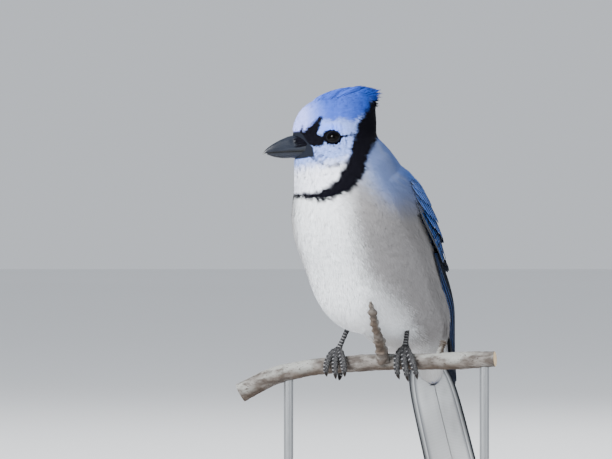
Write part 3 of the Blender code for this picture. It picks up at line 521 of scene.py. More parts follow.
skin = closed_tube("skin", skin_points)
add_colour(skin, markings(skin_points).reshape(-1, 3) * SKIN_PAINTED_SHADE)
add_uv(skin, skin_uv.reshape(-1, 2))
plumage_finish, tree, shader = finish_of("soft_plumage", 0.9, specular=0.04)
fleck = noise_node(1400.0, 2.0, object_place())
bright = new_node("ShaderNodeMapRange", {"Value": fleck, "To Min": 0.93, "To Max": 1.06}).outputs["Result"]
tree.links.new(shaded(attribute("tint", "Color"), bright), shader.inputs["Base Color"])
skin.data.materials.append(plumage_finish)
keep(skin, "plumage_body", "head", "neck", "torso")

# The coat: small body feathers, tiny and dense at the bill and larger down the body. Each is a
# fan of five soft locks that grow from one root in the skin, bend over and lie along the body.
LOCK_FAN = np.radians((-17.0, -8.0, 0.0, 8.0, 17.0))
LOCK_REACH = np.array((0.84, 0.95, 1.0, 0.95, 0.84))
LOCK_BEND = 0.45  # share of a lock's length where it bends over
LOCK_RIDGE = 0.24  # a lock's thickness as a share of half its width
LOCK_SLANT = 0.22  # how far the shading leans to a lock's sides
ROOT_DEPTH = 0.3
LOCK_FACES = np.array((
    (0, 1, 4), (0, 4, 3), (1, 2, 5), (1, 5, 4), (2, 0, 3), (2, 3, 5), (3, 4, 6), (4, 5, 6), (5, 3, 6),
    (0, 2, 1),
))
LOCK_UV = np.array(((-1, -1), (1, -1), (0, -1), (-1, 0), (1, 0), (0, 0), (0, 1))) * 0.0015
# Painted shade: each lock is darker at its covered root, and at its edges than on its ridge
LOCK_PAINTED_SHADE = np.array((0.90, 0.90, 0.92, 0.96, 0.96, 1.0, 1.0))
FANS_IN_PIECE = 3900  # each fan has 50 triangles
BILL_ROOT = np.array([22.0, 0.0, -5.0])
FEATHER_SIZES = (
    # by distance from the bill's root: length, lock width, feathers on a square mm
    (4.0, 1.4, 0.26, 1.90),
    (12.0, 2.4, 0.30, 1.50),
    (22.0, 3.8, 0.36, 1.05),
    (34.0, 5.4, 0.46, 0.72),
    (50.0, 7.2, 0.58, 0.50),
    (80.0, 9.0, 0.72, 0.36),
    (130.0, 10.0, 0.78, 0.34),
    (170.0, 11.5, 0.78, 0.36),
)
rng = np.random.default_rng(7)


def looked_up(grid, r, c):
    """Values of a skin grid between its rows and columns."""
    r0 = np.clip(np.floor(r).astype(int), 0, rows - 2)
    c0 = np.floor(c).astype(int) % columns
    c1 = (c0 + 1) % columns
    a = np.clip(r - r0, 0, 1)[:, None]
    b = (c - np.floor(c))[:, None]
    near, far = (grid[r0, at] * (1 - a) + grid[r0 + 1, at] * a for at in (c0, c1))
    return near * (1 - b) + far * b


def feather_roots(density):
    """Rows and columns of feather roots, as many as the skin's area times the density."""
    down = np.linalg.norm(np.gradient(skin_points, axis=0), axis=-1)
    round_ = np.linalg.norm(np.roll(skin_points, -1, 1) - skin_points, axis=-1)
    weight = (down * round_ * density)[:-1]
    total = np.cumsum(weight.ravel())
    count = int(total[-1])
    spot = (np.arange(count) + rng.random(count)) * total[-1] / count
    cell = np.minimum(np.searchsorted(total, spot), weight.size - 1)
    return cell // columns + rng.random(count), cell % columns + rng.random(count)


def feather_fans(name, slot, root, normal, way, length, width, colour, uv_centre, rise, tip_over, wrap=1.0):
    """Feathers as fans of five locks, each a ridged strip from root over a bend to a tip.

    The bend is rise over the skin. With wrap 1 the tip lies tip_over above the plumage's
    surface; with wrap 0 it lies tip_over above the straight line from the root. A fan is shaded
    mostly with the roundness of the body under it, so that the coat looks soft.
    """
    count = len(root)
    normal = unit(normal)
    way = unit(way - normal * np.sum(way * normal, axis=1, keepdims=True))
    side = np.cross(way, normal)
    fan = LOCK_FAN[None] + rng.normal(0, 0.035, (count, 5))
    ways = (way[:, None] * np.cos(fan)[..., None] + side[:, None] * np.sin(fan)[..., None]).reshape(-1, 3)
    reach = (length[:, None] * LOCK_REACH * rng.uniform(0.95, 1.05, (count, 5))).reshape(-1, 1)
    spread = width[:, None] * np.linspace(-1.4, 1.4, 5)
    start = (root[:, None] + side[:, None] * spread[..., None] * 0.6).reshape(-1, 3)
    five = lambda a: np.repeat(a, 5, axis=0)
    up, rise, over = five(normal), five(rise)[:, None], five(tip_over)[:, None]
    depth = -plumage(start)[:, None]
    over = over + rng.uniform(-0.08, 0.08, over.shape)
    middle = start + ways * LOCK_BEND * reach
    middle += up * (wrap * (rise - depth - plumage(middle)[:, None]) + (1 - wrap) * rise)
    tip = start + ways * reach
    tip += wrap * outward(tip) * (over - plumage(tip)[:, None]) + (1 - wrap) * up * over
    across = unit(np.cross(ways, up))
    half = five(width)[:, None] / 2
    thick = half * LOCK_RIDGE
    base = start - up * ROOT_DEPTH
    points = np.stack([
        base - across * half * 0.7, base + across * half * 0.7, base + up * thick * 1.2,
        middle - across * half, middle + across * half, middle + up * thick, tip,
    ], axis=1)
    faces = (LOCK_FACES[None] + 7 * np.arange(count * 5)[:, None, None]).reshape(-1, 3)
    piece = made_mesh(name, points.reshape(-1, 3), faces)
    lie = outward(tip) if wrap else up
    halfway = unit(up + lie)
    slant = across * LOCK_SLANT
    soft = [up - slant, up + slant, up, halfway - slant, halfway + slant, halfway, lie]
    soft = to_world(np.stack(soft, axis=1).reshape(-1, 3)) - to_world(np.zeros(3))
    piece.data.normals_split_custom_set_from_vertices(unit(soft))
    tone = five(colour * rng.uniform(0.93, 1.05, count)[:, None])
    tone = tone * rng.uniform(0.94, 1.04, count * 5)[:, None]
    add_colour(piece, np.clip(tone[:, None] * LOCK_PAINTED_SHADE[:, None], 0, 1).reshape(-1, 3))
    add_uv(piece, (five(uv_centre)[:, None] + LOCK_UV).reshape(-1, 2))
    piece.data.materials.append(plumage_finish)
    return keep(piece, slot)


sizes = np.transpose(FEATHER_SIZES)
from_bill = np.linalg.norm(in_head(skin_points) - BILL_ROOT, axis=-1)
r, c = feather_roots(np.interp(from_bill, sizes[0], sizes[3]))
order = np.argsort(r + rng.uniform(-3, 3, len(r)))
r, c = r[order], c[order]
root = looked_up(skin_points, r, c)
head = in_head(root)
from_eye = np.linalg.norm(head * [1, 0, 1] - EYE_PLACE * [1, 0, 1], axis=1)
on_bill = bare_horn(head[:, 0], head[:, 2]) > 0.5
grown = (from_eye > 4.4) & (r < rows - 6) & ~on_bill
r, c, root, head, from_eye = r[grown], c[grown], root[grown], head[grown], from_eye[grown]
away = np.linalg.norm(head - BILL_ROOT, axis=1)
length = np.interp(away, sizes[0], sizes[1]) * rng.uniform(0.85, 1.15, len(r))
length = length * np.clip((from_eye - 3.2) / 5.0, 0.28, 1.0)
width = np.interp(away, sizes[0], sizes[2])
colour = markings(root + looked_up(skin_flow, r, c) * (0.7 * length)[:, None])
surface_normal = looked_up(skin_normals, r, c)
flow = looked_up(skin_flow, r, c)
centre = looked_up(skin_uv, r, c)
rise = 0.82 * -plumage(root)
on_head = head[:, 2] > -22
tip_over = rng.uniform(-0.15, 0.25, len(r))
for part, chosen in (("head", on_head), ("body", ~on_head)):
    batches = np.array_split(np.where(chosen)[0], math.ceil(chosen.sum() / FANS_IN_PIECE))
    for i, k in enumerate(batches):
        feather_fans("coat_" + part + "_" + str(i + 1), "plumage_" + part, root[k], surface_normal[k],
                     flow[k], length[k], width[k], colour[k], centre[k], rise[k], tip_over[k])

# The wings, folded: stiff flight feathers that lie side by side over the rump, under rows of
# shorter coverts. Each is a thin curved vane on a shaft, black barred with white at its tip.
WING_LOWER = ((12, 34, 97), (2, 37, 77), (-17, 33, 54), (-34, 24, 30), (-50.5, 16, 9), (-63.4, 11, -13))
WING_UPPER = ((-8, 21, 100), (-24, 12.5, 79), (-38, 6, 54), (-48, 3.6, 31), (-57, 3.6, 9), (-65.2, 4.4, -13))
WING_LENGTH = 132.0
WING_CLEARANCE = 0.45
SHOULDER = 0.14
FLIGHT_LAYER = 0.94
PRIMARIES = 8
FIRST_TERTIAL = 13
FLIGHT_COUNTS = (
    # how many flight feathers lie side by side at each share of the wing's length
    (0.5, 18.4), (0.6, 17.4), (0.66, 16.0), (0.7, 14.2), (0.76, 11.8),
    (0.8, 9.8), (0.85, 8.2), (0.9, 7.0), (0.95, 5.8), (1.0, 4.8),
)
FLIGHT_PLACES = ((0, 0.0), (8, 0.36), (13, 0.66), (18.4, 1.0))
FLIGHT_TIPS = (
    0.88, 0.945, 0.985, 1.0, 0.975, 0.93, 0.88, 0.825, 0.78, 0.76, 0.74, 0.72, 0.705, 0.69, 0.655, 0.61,
)
FLIGHT_OVERLAP = 2.4
FLIGHT_START = 0.35
VANE_ROWS = 40
VANE_COLUMNS = np.array((0.0, 0.07, 0.2, 0.33, 0.385, 0.4, 0.415, 0.5, 0.68, 0.86, 1.0))
SHAFT = 0.4  # share across a vane where its shaft lies
BAR_PITCH, BAR_LEAN = 4.6, 1.1
BARB_PITCH, BARB_LEAN = 0.9, 3.4
DUSK = np.array([0.007, 0.009, 0.014])
WING_BLUE = np.array([0.024, 0.085, 0.31])
PRIMARY_BLUE = np.array([0.010, 0.028, 0.10])
PALE_EDGE = np.array([0.07, 0.15, 0.36])
SHOULDER_BLUE = np.array([0.040, 0.110, 0.37])
WHITE = np.array([0.84, 0.85, 0.87])
UNDER_GREY = np.array([0.05, 0.055, 0.065])


def wing_sheet(along, across, height):
    """The left wing's surface: a sheet between two curves, pushed out of the body, plus a height."""
    fine = np.linspace(0, 1, 101)
    low = through(WING_LOWER, fine)
    high = through(WING_UPPER, fine)
    lower = np.stack([np.interp(along, fine, low[:, i]) for i in range(3)], axis=-1)
    upper = np.stack([np.interp(along, fine, high[:, i]) for i in range(3)], axis=-1)
    narrow = np.sqrt(np.clip(1.02 - (1 - np.minimum(along / SHOULDER, 1)) ** 2, 0.1, 1))
    points = lower + (upper - lower) * (0.5 + (across - 0.5) * narrow)[..., None]
    for _ in range(4):
        short = WING_CLEARANCE - plumage(points)
        push = 0.5 * (short + np.sqrt(short**2 + 0.6))
        points = points + outward(points) * push[..., None]
    return points + outward(points) * height[..., None]


def vane_mesh(name, over, under, tint_over, tint_under, barred, lengthways):
    """Vanes from grids of points: upper and lower faces that meet at the rim of each vane.

    barred is how strong the bars are on the upper face; lengthways is the distance to the tip
    in millimetres. Both, and the place across the vane, go into the attribute named vane.
    """
    count, r, c = over.shape[:3]
    rim = np.ones((r, c), bool)
    rim[1:-1, 1:-1] = False
    top = np.arange(r * c).reshape(r, c)
    bottom = np.where(rim, top, r * c + np.cumsum(~rim).reshape(r, c) - 1)
    per_vane = r * c + int((~rim).sum())
    points = np.concatenate([over.reshape(count, -1, 3), under[:, ~rim]], axis=1)
    quads = lambda g: np.stack([g[:-1, :-1], g[:-1, 1:], g[1:, 1:], g[1:, :-1]], axis=-1).reshape(-1, 4)
    places = quads(top)
    lower = quads(bottom)[:, ::-1]
    middle = (r // 2) * (c - 1) + c // 2
    corner = over.reshape(count, -1, 3)[:, places[middle]]
    upward = np.cross(corner[:, 1] - corner[:, 0], corner[:, 3] - corner[:, 0])
    if np.mean(np.sum(upward * (over - under)[:, r // 2, c // 2], axis=1)) < 0:
        faces = np.concatenate([places[:, ::-1], lower[:, ::-1]])
        place = np.concatenate([places[:, ::-1], places])
    else:
        faces = np.concatenate([places, lower])
        place = np.concatenate([places, places[:, ::-1]])
    all_faces = (faces[None] + per_vane * np.arange(count)[:, None, None]).reshape(-1, 4)
    piece = made_mesh(name, points.reshape(-1, 3), all_faces)
    half = len(places)
    flat = place.reshape(-1)
    is_over = np.arange(len(flat)) < half * 4
    by_corner = lambda grid: grid.reshape(count, -1, 3)[:, flat]
    add_colour(piece, np.where(is_over[None, :, None], by_corner(tint_over), by_corner(tint_under)), "CORNER")
    column = np.linspace(-1, 1, c)[None, None] + 0 * lengthways
    facts = by_corner(np.stack([column, lengthways, np.broadcast_to(barred, lengthways.shape)], axis=-1))
    facts[:, ~is_over, 2] = 0.0
    add_values(piece, "vane", "FLOAT_VECTOR", facts, "CORNER")
    tiles = math.ceil(math.sqrt(2 * count))
    tile = 2 * np.arange(count)[:, None] + np.where(is_over, 0, 1)[None]
    u = (tile % tiles + 0.06 + 0.88 * (flat % c)[None] / (c - 1)) / tiles
    v = (tile // tiles + 0.06 + 0.88 * (flat // c)[None] / (r - 1)) / tiles
    add_uv(piece, np.stack([u, v], axis=-1), by_corner=True)
    piece.data.set_sharp_from_angle(angle=math.radians(60))
    return piece


def vane_thickness(taper):
    """Half a millimetre at the shaft, thin at the rims and the tip."""
    ridge = np.exp(-(((VANE_COLUMNS - SHAFT) / 0.02) ** 2))
    arch = 1 - ((VANE_COLUMNS - SHAFT) / 0.6) ** 2
    return (0.10 + 0.34 * np.clip(arch, 0, 1) + 0.16 * ridge) * np.minimum(taper * 1.4, 1)


def flight_vane(number):
    """Shares along and across the wing and the height of a primary, secondary or tertial."""
    tip = FLIGHT_TIPS[number]
    down = 1 - (1 - np.linspace(0, 1, VANE_ROWS)) ** 1.8
    along = (FLIGHT_START + (tip - FLIGHT_START) * down)[:, None]
    near_tip = ((0, 0.003, 0.010, 0.03, 0.06, 0.10, 0.14), (0.10, 0.3, 0.5, 0.74, 0.88, 0.97, 1))
    taper = np.interp(tip - along, *near_tip)
    index = number + 0.3 * (1 - taper) + FLIGHT_OVERLAP * taper * VANE_COLUMNS
    along = along + 0 * index
    at_edge = np.interp(np.interp(along, *np.transpose(FLIGHT_COUNTS)), *np.transpose(FLIGHT_PLACES))
    across = np.interp(index, *np.transpose(FLIGHT_PLACES)) / at_edge
    layers = np.clip(np.minimum(number, FLIGHT_OVERLAP - (index - number)), 0, None)
    height = FLIGHT_LAYER * layers * np.interp(along, (0.3, 0.5), (0.4, 1.0))
    return along, across, height, taper


def covert_vane(ends, low, width, base, layer):
    """A covert between two shares along the wing; low is its lower edge's share across it."""
    down = 1 - (1 - np.linspace(0, 1, VANE_ROWS)) ** 1.4
    taper = np.interp(down, (0, 0.55, 0.8, 0.93, 0.985, 1.0), (1, 1, 0.86, 0.58, 0.3, 0.12))[:, None]
    along = (ends[0] + (ends[1] - ends[0]) * down)[:, None] + 0 * taper * VANE_COLUMNS
    across = low + 0.4 * (1 - taper) * width + width * taper * VANE_COLUMNS
    height = (base[0] + (base[1] - base[0]) * down)[:, None] + layer * (1 - taper * VANE_COLUMNS)
    return along, across, height, taper


def web_colour(along, tip, outer, inner, tip_white, edge=PALE_EDGE):
    """Outer web, inner web, a pale rim, a dark shaft and a white tip of so many millimetres."""
    column = VANE_COLUMNS[None] + 0 * along
    colour = outer + (inner - outer) * step(SHAFT - column, 0.10)[..., None]
    colour = mixed(colour, edge, 0.75 * step(column - 0.05, 0.07))
    colour = mixed(colour, DUSK * 0.6, 0.75 * np.exp(-(((column - SHAFT) / 0.016) ** 2)))
    from_tip = (tip - along) * WING_LENGTH
    return mixed(colour, WHITE, step(from_tip - tip_white + 2.2 * np.abs(column - SHAFT), 1.4)), from_tip


def sum_node(operation, a, b=0.0, c=0.0):
    """One Math node in the tree being built; inputs are numbers or sockets."""
    return new_node("ShaderNodeMath", {0: a, 1: b, 2: c}, operation=operation).outputs[0]


def parts_of(vector):
    """The three numbers of a vector."""
    return new_node("ShaderNodeSeparateXYZ", {0: vector}).outputs


def add_relief(height, distance, strength=1.0):
    """Fine relief on the shader being built, so many metres deep where the height is 1."""
    bump = new_node("ShaderNodeBump", {"Strength": strength, "Distance": distance, "Height": height})
    tree.links.new(bump.outputs["Normal"], shader.inputs["Normal"])


# Bars cross the vane and lean back from the shaft; barbs are fine lines that lean more
feather_finish, tree, shader = finish_of("barred_vanes", 0.66, specular=0.12)
across_vane, along_vane, barring = parts_of(attribute("vane", "Vector"))
away = sum_node("ABSOLUTE", across_vane)
bar_place = sum_node("MULTIPLY_ADD", away, BAR_LEAN, along_vane)
bar_wave = sum_node("SINE", sum_node("MULTIPLY", bar_place, 2 * math.pi / BAR_PITCH))
bar = sum_node("MAXIMUM", sum_node("MULTIPLY_ADD", bar_wave, 4.0, -2.6), 0.0)
bar = sum_node("MULTIPLY", sum_node("SMOOTH_MIN", bar, 1.0, 0.1), barring)
barb_place = sum_node("MULTIPLY_ADD", away, BARB_LEAN, along_vane)
barb = sum_node("SINE", sum_node("MULTIPLY", barb_place, 2 * math.pi / BARB_PITCH))
web = shaded(attribute("tint", "Color"), sum_node("MULTIPLY_ADD", barb, 0.09, 0.97))
tree.links.new(mix_node(bar, web, (0.003, 0.004, 0.008)), shader.inputs["Base Color"])
add_relief(barb, 0.0001, 0.25)

vanes = []
for number, tip in enumerate(FLIGHT_TIPS):
    along, across, height, taper = flight_vane(number)
    primary = number < PRIMARIES
    outer = PRIMARY_BLUE if primary else WING_BLUE
    inner = DUSK if number < FIRST_TERTIAL else WING_BLUE * 0.7
    colour, from_tip = web_colour(along, tip, outer, inner, 1.0 if primary else 5.5)
    vanes.append((along, across, height, vane_thickness(taper), colour, 0.0 if primary else 1.0, from_tip))
COVERT_ROWS = (
    # count, root share, tip share, first low edge, step across, width, base heights, layer, white tip, bars
    (9, 0.22, 0.475, 0.21, 0.086, 0.135, (1.2, 3.1), 1.2, 4.2, 1.0),
    (5, 0.17, 0.40, 0.0, 0.05, 0.10, (1.0, 2.6), 1.0, 0.6, 0.8),
    (3, 0.08, 0.30, -0.01, 0.05, 0.09, (0.8, 2.6), 1.0, 0.8, 0.7),
    (9, 0.12, 0.33, 0.16, 0.094, 0.15, (1.2, 3.6), 1.1, 0.8, 0.0),
    (10, 0.06, 0.245, 0.05, 0.096, 0.15, (1.3, 3.7), 1.0, 0.0, 0.0),
    (9, 0.02, 0.16, 0.04, 0.104, 0.17, (1.1, 3.3), 0.9, 0.0, 0.0),
    (7, 0.0, 0.09, 0.03, 0.13, 0.2, (0.6, 2.4), 0.9, 0.0, 0.0),
)
for count, start, end, first, gap, width, base, layer, tip_white, barring in COVERT_ROWS:
    for i in range(count):
        tip = end - 0.0035 * (i - 0.55 * count) ** 2 * 9 / count
        along, across, height, taper = covert_vane((start, tip), first + gap * i, width, base, layer)
        smooth = np.clip((0.34 - end) / 0.2, 0, 1)
        outer = WING_BLUE * (1 - smooth) + SHOULDER_BLUE * smooth
        inner = DUSK * (1 - smooth) + SHOULDER_BLUE * 0.6 * smooth
        edge = WING_BLUE * 1.7 * (1 - smooth) + SHOULDER_BLUE * 1.15 * smooth
        colour, from_tip = web_colour(along, tip, outer, inner, tip_white, edge)
        vanes.append((along, across, height, vane_thickness(taper), colour, barring, from_tip))
along, across, height, thick, tints, bars, from_tips = (np.array(part) for part in zip(*vanes))
under = wing_sheet(along, across, height)
over = wing_sheet(along, across, height + thick)
bars = bars[:, None, None] * step(5.0 - from_tips, 1.0) * np.interp(from_tips, (60, 75), (1, 0))
for name, side in (("wing_left", 1), ("wing_right", -1)):
    turn = np.array([1, side, 1])
    tone = np.random.default_rng(3).uniform(0.9, 1.1, len(tints))[:, None, None, None]
    wing = vane_mesh(name + "_feathers", over * turn, under * turn, tints * tone, tints * 0 + UNDER_GREY,
                     bars, from_tips)
    wing.data.materials.append(feather_finish)
    keep(wing, "feather_blue", name)

# The tail: twelve straight feathers, closed like a fan, the middle pair on top. Blue and
# barred above, pale grey below with black outer edges; the outer ones end in white.
TAIL_ROOT = np.array([-50.8, 0.0, 17.0])
TAIL_SLOPE = math.radians(69)
TAIL_LENGTH = 128.0
TAIL_START = 12.0
TAIL_OPEN = 17.0  # where the feathers come out from under the coverts
TAIL_SHORTER = (0.0, 0.6, 2.2, 5.0, 9.0, 14.0)
TAIL_WHITES = (0.0, 3.0, 7.0, 12.0, 17.0, 21.0)
TAIL_SEAMS = (0.0, 1.2, -1.2, 0.8, -0.8, 0.0)
TAIL_LAYER = 0.9
TAIL_OUTER_WEB = 3.9
TAIL_FANNING = 8.0
TAIL_ROOF = 0.12
TAIL_BLUE = np.array([0.018, 0.070, 0.27])
TAIL_BELOW = np.array([0.44, 0.47, 0.49])
down_tail = np.array([-math.cos(TAIL_SLOPE), 0.0, -math.sin(TAIL_SLOPE)])
off_tail = np.array([-math.sin(TAIL_SLOPE), 0.0, math.cos(TAIL_SLOPE)])


def tail_vane(pair, side, layer):
    """A straight vane: the shaft runs out sideways as it goes down, the webs taper at the tip."""
    length = TAIL_LENGTH - TAIL_SHORTER[pair]
    reach = (TAIL_START + (length - TAIL_START) * (1 - (1 - np.linspace(0, 1, VANE_ROWS)) ** 1.8))[:, None]
    share = (reach - TAIL_OPEN) / (length - TAIL_OPEN)
    opened = 1 - np.exp(-(reach - TAIL_OPEN) / TAIL_FANNING)
    shaft = side * (1.0 + 1.25 * pair + 1.25 * pair * opened + (1.6 + 0.1 * pair) * share)
    taper = np.interp(length - reach, (0, 0.5, 1.5, 4.5, 9.0, 14.0), (0.12, 0.34, 0.52, 0.78, 0.93, 1))
    inner = TAIL_SEAMS[pair] + side * 0.2
    if pair == 0:
        inner = -side * 3.5 if side > 0 else -0.2
    inner = shaft + (inner - shaft) * taper
    outer = shaft + side * TAIL_OUTER_WEB * taper
    c = VANE_COLUMNS
    inner_share = (c - SHAFT) / (1 - SHAFT)
    across = np.where(c < SHAFT, outer + (shaft - outer) * c / SHAFT, shaft + (inner - shaft) * inner_share)
    height = -TAIL_LAYER * layer - TAIL_ROOF * np.sqrt(across**2 + 1.0)
    under = TAIL_ROOT + reach[..., None] * down_tail + across[..., None] * [0.0, 1.0, 0.0]
    under = under + height[..., None] * off_tail
    over = under + vane_thickness(taper)[..., None] * off_tail
    from_tip = length - reach + 0 * across
    column = c[None] + 0 * across
    inner_web = DUSK if pair else TAIL_BLUE
    above = TAIL_BLUE + (inner_web - TAIL_BLUE) * step(SHAFT - column, 0.10)[..., None]
    above = mixed(above, DUSK * 0.6, 0.8 * np.exp(-(((column - SHAFT) / 0.016) ** 2)))
    white = step(from_tip - TAIL_WHITES[pair] + 3.0 * np.abs(column - SHAFT), 1.6)
    below = TAIL_BELOW + 0 * above
    below = mixed(below, DUSK, step(np.abs(column - 0.25) - 0.055, 0.05) * (0.55 + 0.45 * (pair >= 4)))
    below = mixed(below, DUSK, step(column - 0.12, 0.05))
    below = mixed(below, DUSK * 3, 0.8 * np.exp(-(((column - SHAFT) / 0.03) ** 2)))
    below = below * (1 - 0.16 * np.sin(3.5 * across + 0.05 * reach) ** 8)[..., None]
    return over, under, mixed(above, WHITE, white), mixed(below, WHITE, white), from_tip


layers = [(0, 1, 0)] + [(pair, side, pair + 1) for pair in range(6) for side in (1, -1)][1:]
vanes = [tail_vane(*facts) for facts in layers]
over, under, above, below, from_tips = (np.array(part) for part in zip(*vanes))
barred = np.where(np.linalg.norm(above - WHITE, axis=-1) < 0.5, 0, step(4.0 - from_tips, 2.0))
for name, side in (("left", 1), ("right", -1)):
    chosen = np.array([facts[1] == side for facts in layers])
    piece = vane_mesh("tail_feathers_" + name, over[chosen], under[chosen], above[chosen], below[chosen],
                      barred[chosen], from_tips[chosen])
    piece.data.materials.append(feather_finish)
    keep(piece, "feather_blue", "tail")

# The crest: long narrow feathers of the crown, raised a little and swept back to a ragged
# point behind the head. Each is a soft plume of five barbs' breadth, blue to the root.
CREST_OUTLINE = (
    (-25, 26.6), (-16, 28.4), (-5, 27.4), (3, 25.2), (9.6, 22.0), (16.8, 15.9), (21.6, 9.6),
)
CREST_SWEEP = (
    # root forward, tip forward, how far the tip lies under the crest's outline
    (-14.5, -21.6, 9.5), (-12.5, -22.6, 6.5), (-10.0, -23.6, 3.4), (-7.5, -24.4, 0.5), (-3.0, -19.5, 0.2),
    (1.0, -15.0, 0.2), (5.0, -8.5, 0.2), (8.5, -2.0, 0.2), (12.0, 4.0, 0.2), (16.0, 10.0, 0.2),
)
PLUME_STEPS = 7
PLUMES = 620


def strips(name, paths, sides, widths, colours, uv_centre, slot, finish):
    """Long locks of three-sided section along paths: a ridge over two edges at every step."""
    count, steps = paths.shape[:2]
    along = unit(np.gradient(paths, axis=1))
    lift = np.cross(sides, along)
    half = widths[..., None] / 2
    left, right, ridge = paths - sides * half, paths + sides * half, paths + lift * half * 0.5
    points = np.stack([left, right, ridge], axis=2)
    s = np.arange(steps - 1)[:, None]
    k = np.arange(3)[None]
    m = (k + 1) % 3
    quads = np.stack([s * 3 + k, s * 3 + m, (s + 1) * 3 + m, (s + 1) * 3 + k], axis=-1).reshape(-1, 4)
    caps = np.array([(0, 2, 1), (steps * 3 - 3, steps * 3 - 2, steps * 3 - 1)])
    triangles = np.concatenate([quads[:, [0, 1, 2]], quads[:, [0, 2, 3]], caps])
    faces = (triangles[None] + steps * 3 * np.arange(count)[:, None, None]).reshape(-1, 3)
    piece = made_mesh(name, points.reshape(-1, 3), faces)
    # Painted light: each lock darker at its two edges and lighter on its ridge
    shading = np.array((0.93, 0.93, 1.04))
    add_colour(piece, np.clip(colours[:, :, None] * shading[:, None], 0, 1).reshape(-1, 3))
    down = np.linspace(-1, 1, steps)[None, :, None, None] * np.array((0, 0.0015))
    over = np.array((-1, 1, 0.0))[None, None, :, None] * np.array((0.0015, 0))
    add_uv(piece, (uv_centre[:, None, None] + down + over).reshape(-1, 2))
    piece.data.materials.append(finish)
    return keep(piece, slot)


from_root = np.linspace(0, 1, PLUME_STEPS)
root_f = rng.uniform(-14.5, 16.0, PLUMES)
reach_side = np.interp(root_f, (-14.5, -6, 6, 16), (5.5, 7.6, 7.4, 4.0))
root_l = rng.uniform(-1, 1, PLUMES) * reach_side
deep = rng.uniform(0.0, 1.0, PLUMES) ** 2
spots = from_head(np.stack([root_f, root_l, 0 * root_f], axis=1))
top = cast(spots + np.array([0.0, 0.0, 2.0]), np.array([0.0, 0.0, 1.0]) + 0 * spots, 0.8 + 0 * root_f, 34.0)
highest = np.interp(root_f, (-14.5, -6, 4, 12, 16), (17.5, 20.0, 20.0, 15.5, 12.5))
root_u = np.minimum((top - HEAD_CENTRE)[:, 2], highest)
sweep = np.transpose(CREST_SWEEP)
tip_f = np.interp(root_f, sweep[0], sweep[1]) + rng.normal(0, 1.2, PLUMES)
tip_l = root_l * 0.55
drop = np.interp(root_f, sweep[0], sweep[2]) + 2.5 * deep + 0.055 * tip_l**2
drop = drop + np.abs(rng.normal(0, 0.35, PLUMES))
outline = np.array(CREST_OUTLINE)
tip_u = np.interp(tip_f, outline[:, 0], outline[:, 1]) - drop - 0.2
curve = from_root[None] * (2 - from_root[None])
f = root_f[:, None] + (tip_f - root_f)[:, None] * from_root
u = root_u[:, None] + (tip_u - root_u)[:, None] * (0.35 * curve + 0.65 * from_root)
u = u + 0.9 * np.sin(math.pi * from_root)
l = root_l[:, None] + (tip_l - root_l)[:, None] * from_root
plume = from_head(np.stack([f, l, u], axis=-1))
sideways = from_head([0.0, 1.0, 0.0]) - HEAD_CENTRE
tilt = unit(sideways + np.array([0.0, 0.0, 1.0]) * (-0.09 * root_l)[:, None])
barb = np.repeat(np.arange(-2, 3), PLUMES).reshape(5, PLUMES)[..., None]
spread = barb * np.interp(from_root, (0, 0.25, 0.7, 1.0), (0.25, 0.62, 0.62, 0.36)) + 0 * barb
longer = 1 - 0.045 * np.abs(barb) + rng.normal(0, 0.02, barb.shape)
pulled = plume[None, :, :1] + (plume[None] - plume[None, :, :1]) * longer[..., None]
paths = (pulled + tilt[None, :, None] * spread[..., None]).reshape(-1, PLUME_STEPS, 3)
widths = 0.78 * np.interp(from_root, (0, 0.2, 0.75, 0.93, 1.0), (0.7, 1, 1, 0.6, 0.08))
widths = widths * np.ones((len(paths), 1))
shaded_under = step(u - np.interp(f, *np.transpose(CROWN_EDGE)) + 0.6, 1.6) * (f < -12)
colour = mixed(crown_colour(f), BLACK, shaded_under) * rng.uniform(0.82, 1.14, (PLUMES, 1, 1))
# Painted shade: plumes that lie deeper in the crest are darker
colour = colour * (1 - 0.25 * deep[:, None, None])
colour = np.tile(colour, (5, 1, 1)) * rng.uniform(0.94, 1.05, (5 * PLUMES, 1, 1))
nearest = np.array([np.argmin(np.sum((skin_points[::4, ::4] - p) ** 2, axis=-1)) for p in plume[:, 0]])
root_uv = skin_uv[::4, ::4].reshape(-1, 2)[nearest]
strips("crest_plumes", paths, np.tile(tilt, (5, 1))[:, None], widths, colour, np.tile(root_uv, (5, 1)),
       "plumage_head", plumage_finish)

# The shoulders and flanks: body feathers that lie over the front and lower edges of the
# folded wing, so that it grows out of the plumage. Looser ones hang round each thigh.
def nearest_uv(points):
    """The place on the skin's map of the skin point closest to each point."""
    coarse = skin_points[::5, ::5].reshape(-1, 3)
    place = skin_uv[::5, ::5].reshape(-1, 2)
    return place[np.argmin(((points[:, None] - coarse[None]) ** 2).sum(axis=-1), axis=1)]


def beside_wing(along, across):
    """Root places round the wing: its two guides carried on past its front end and its edges,
    then sunk to the skin."""
    fine = np.linspace(0, 1, 101)
    lines = []
    for guide in (WING_LOWER, WING_UPPER):
        curve = through(guide, fine)
        place = np.stack([np.interp(along, fine, curve[:, i]) for i in range(3)], axis=-1)
        lines.append(place + np.minimum(along, 0)[:, None] * (curve[6] - curve[0]) / 0.06)
    points = lines[0] + (lines[1] - lines[0]) * across[:, None]
    for _ in range(3):
        points = points - outward(points) * (plumage(points) + 0.9)[:, None]
    return points


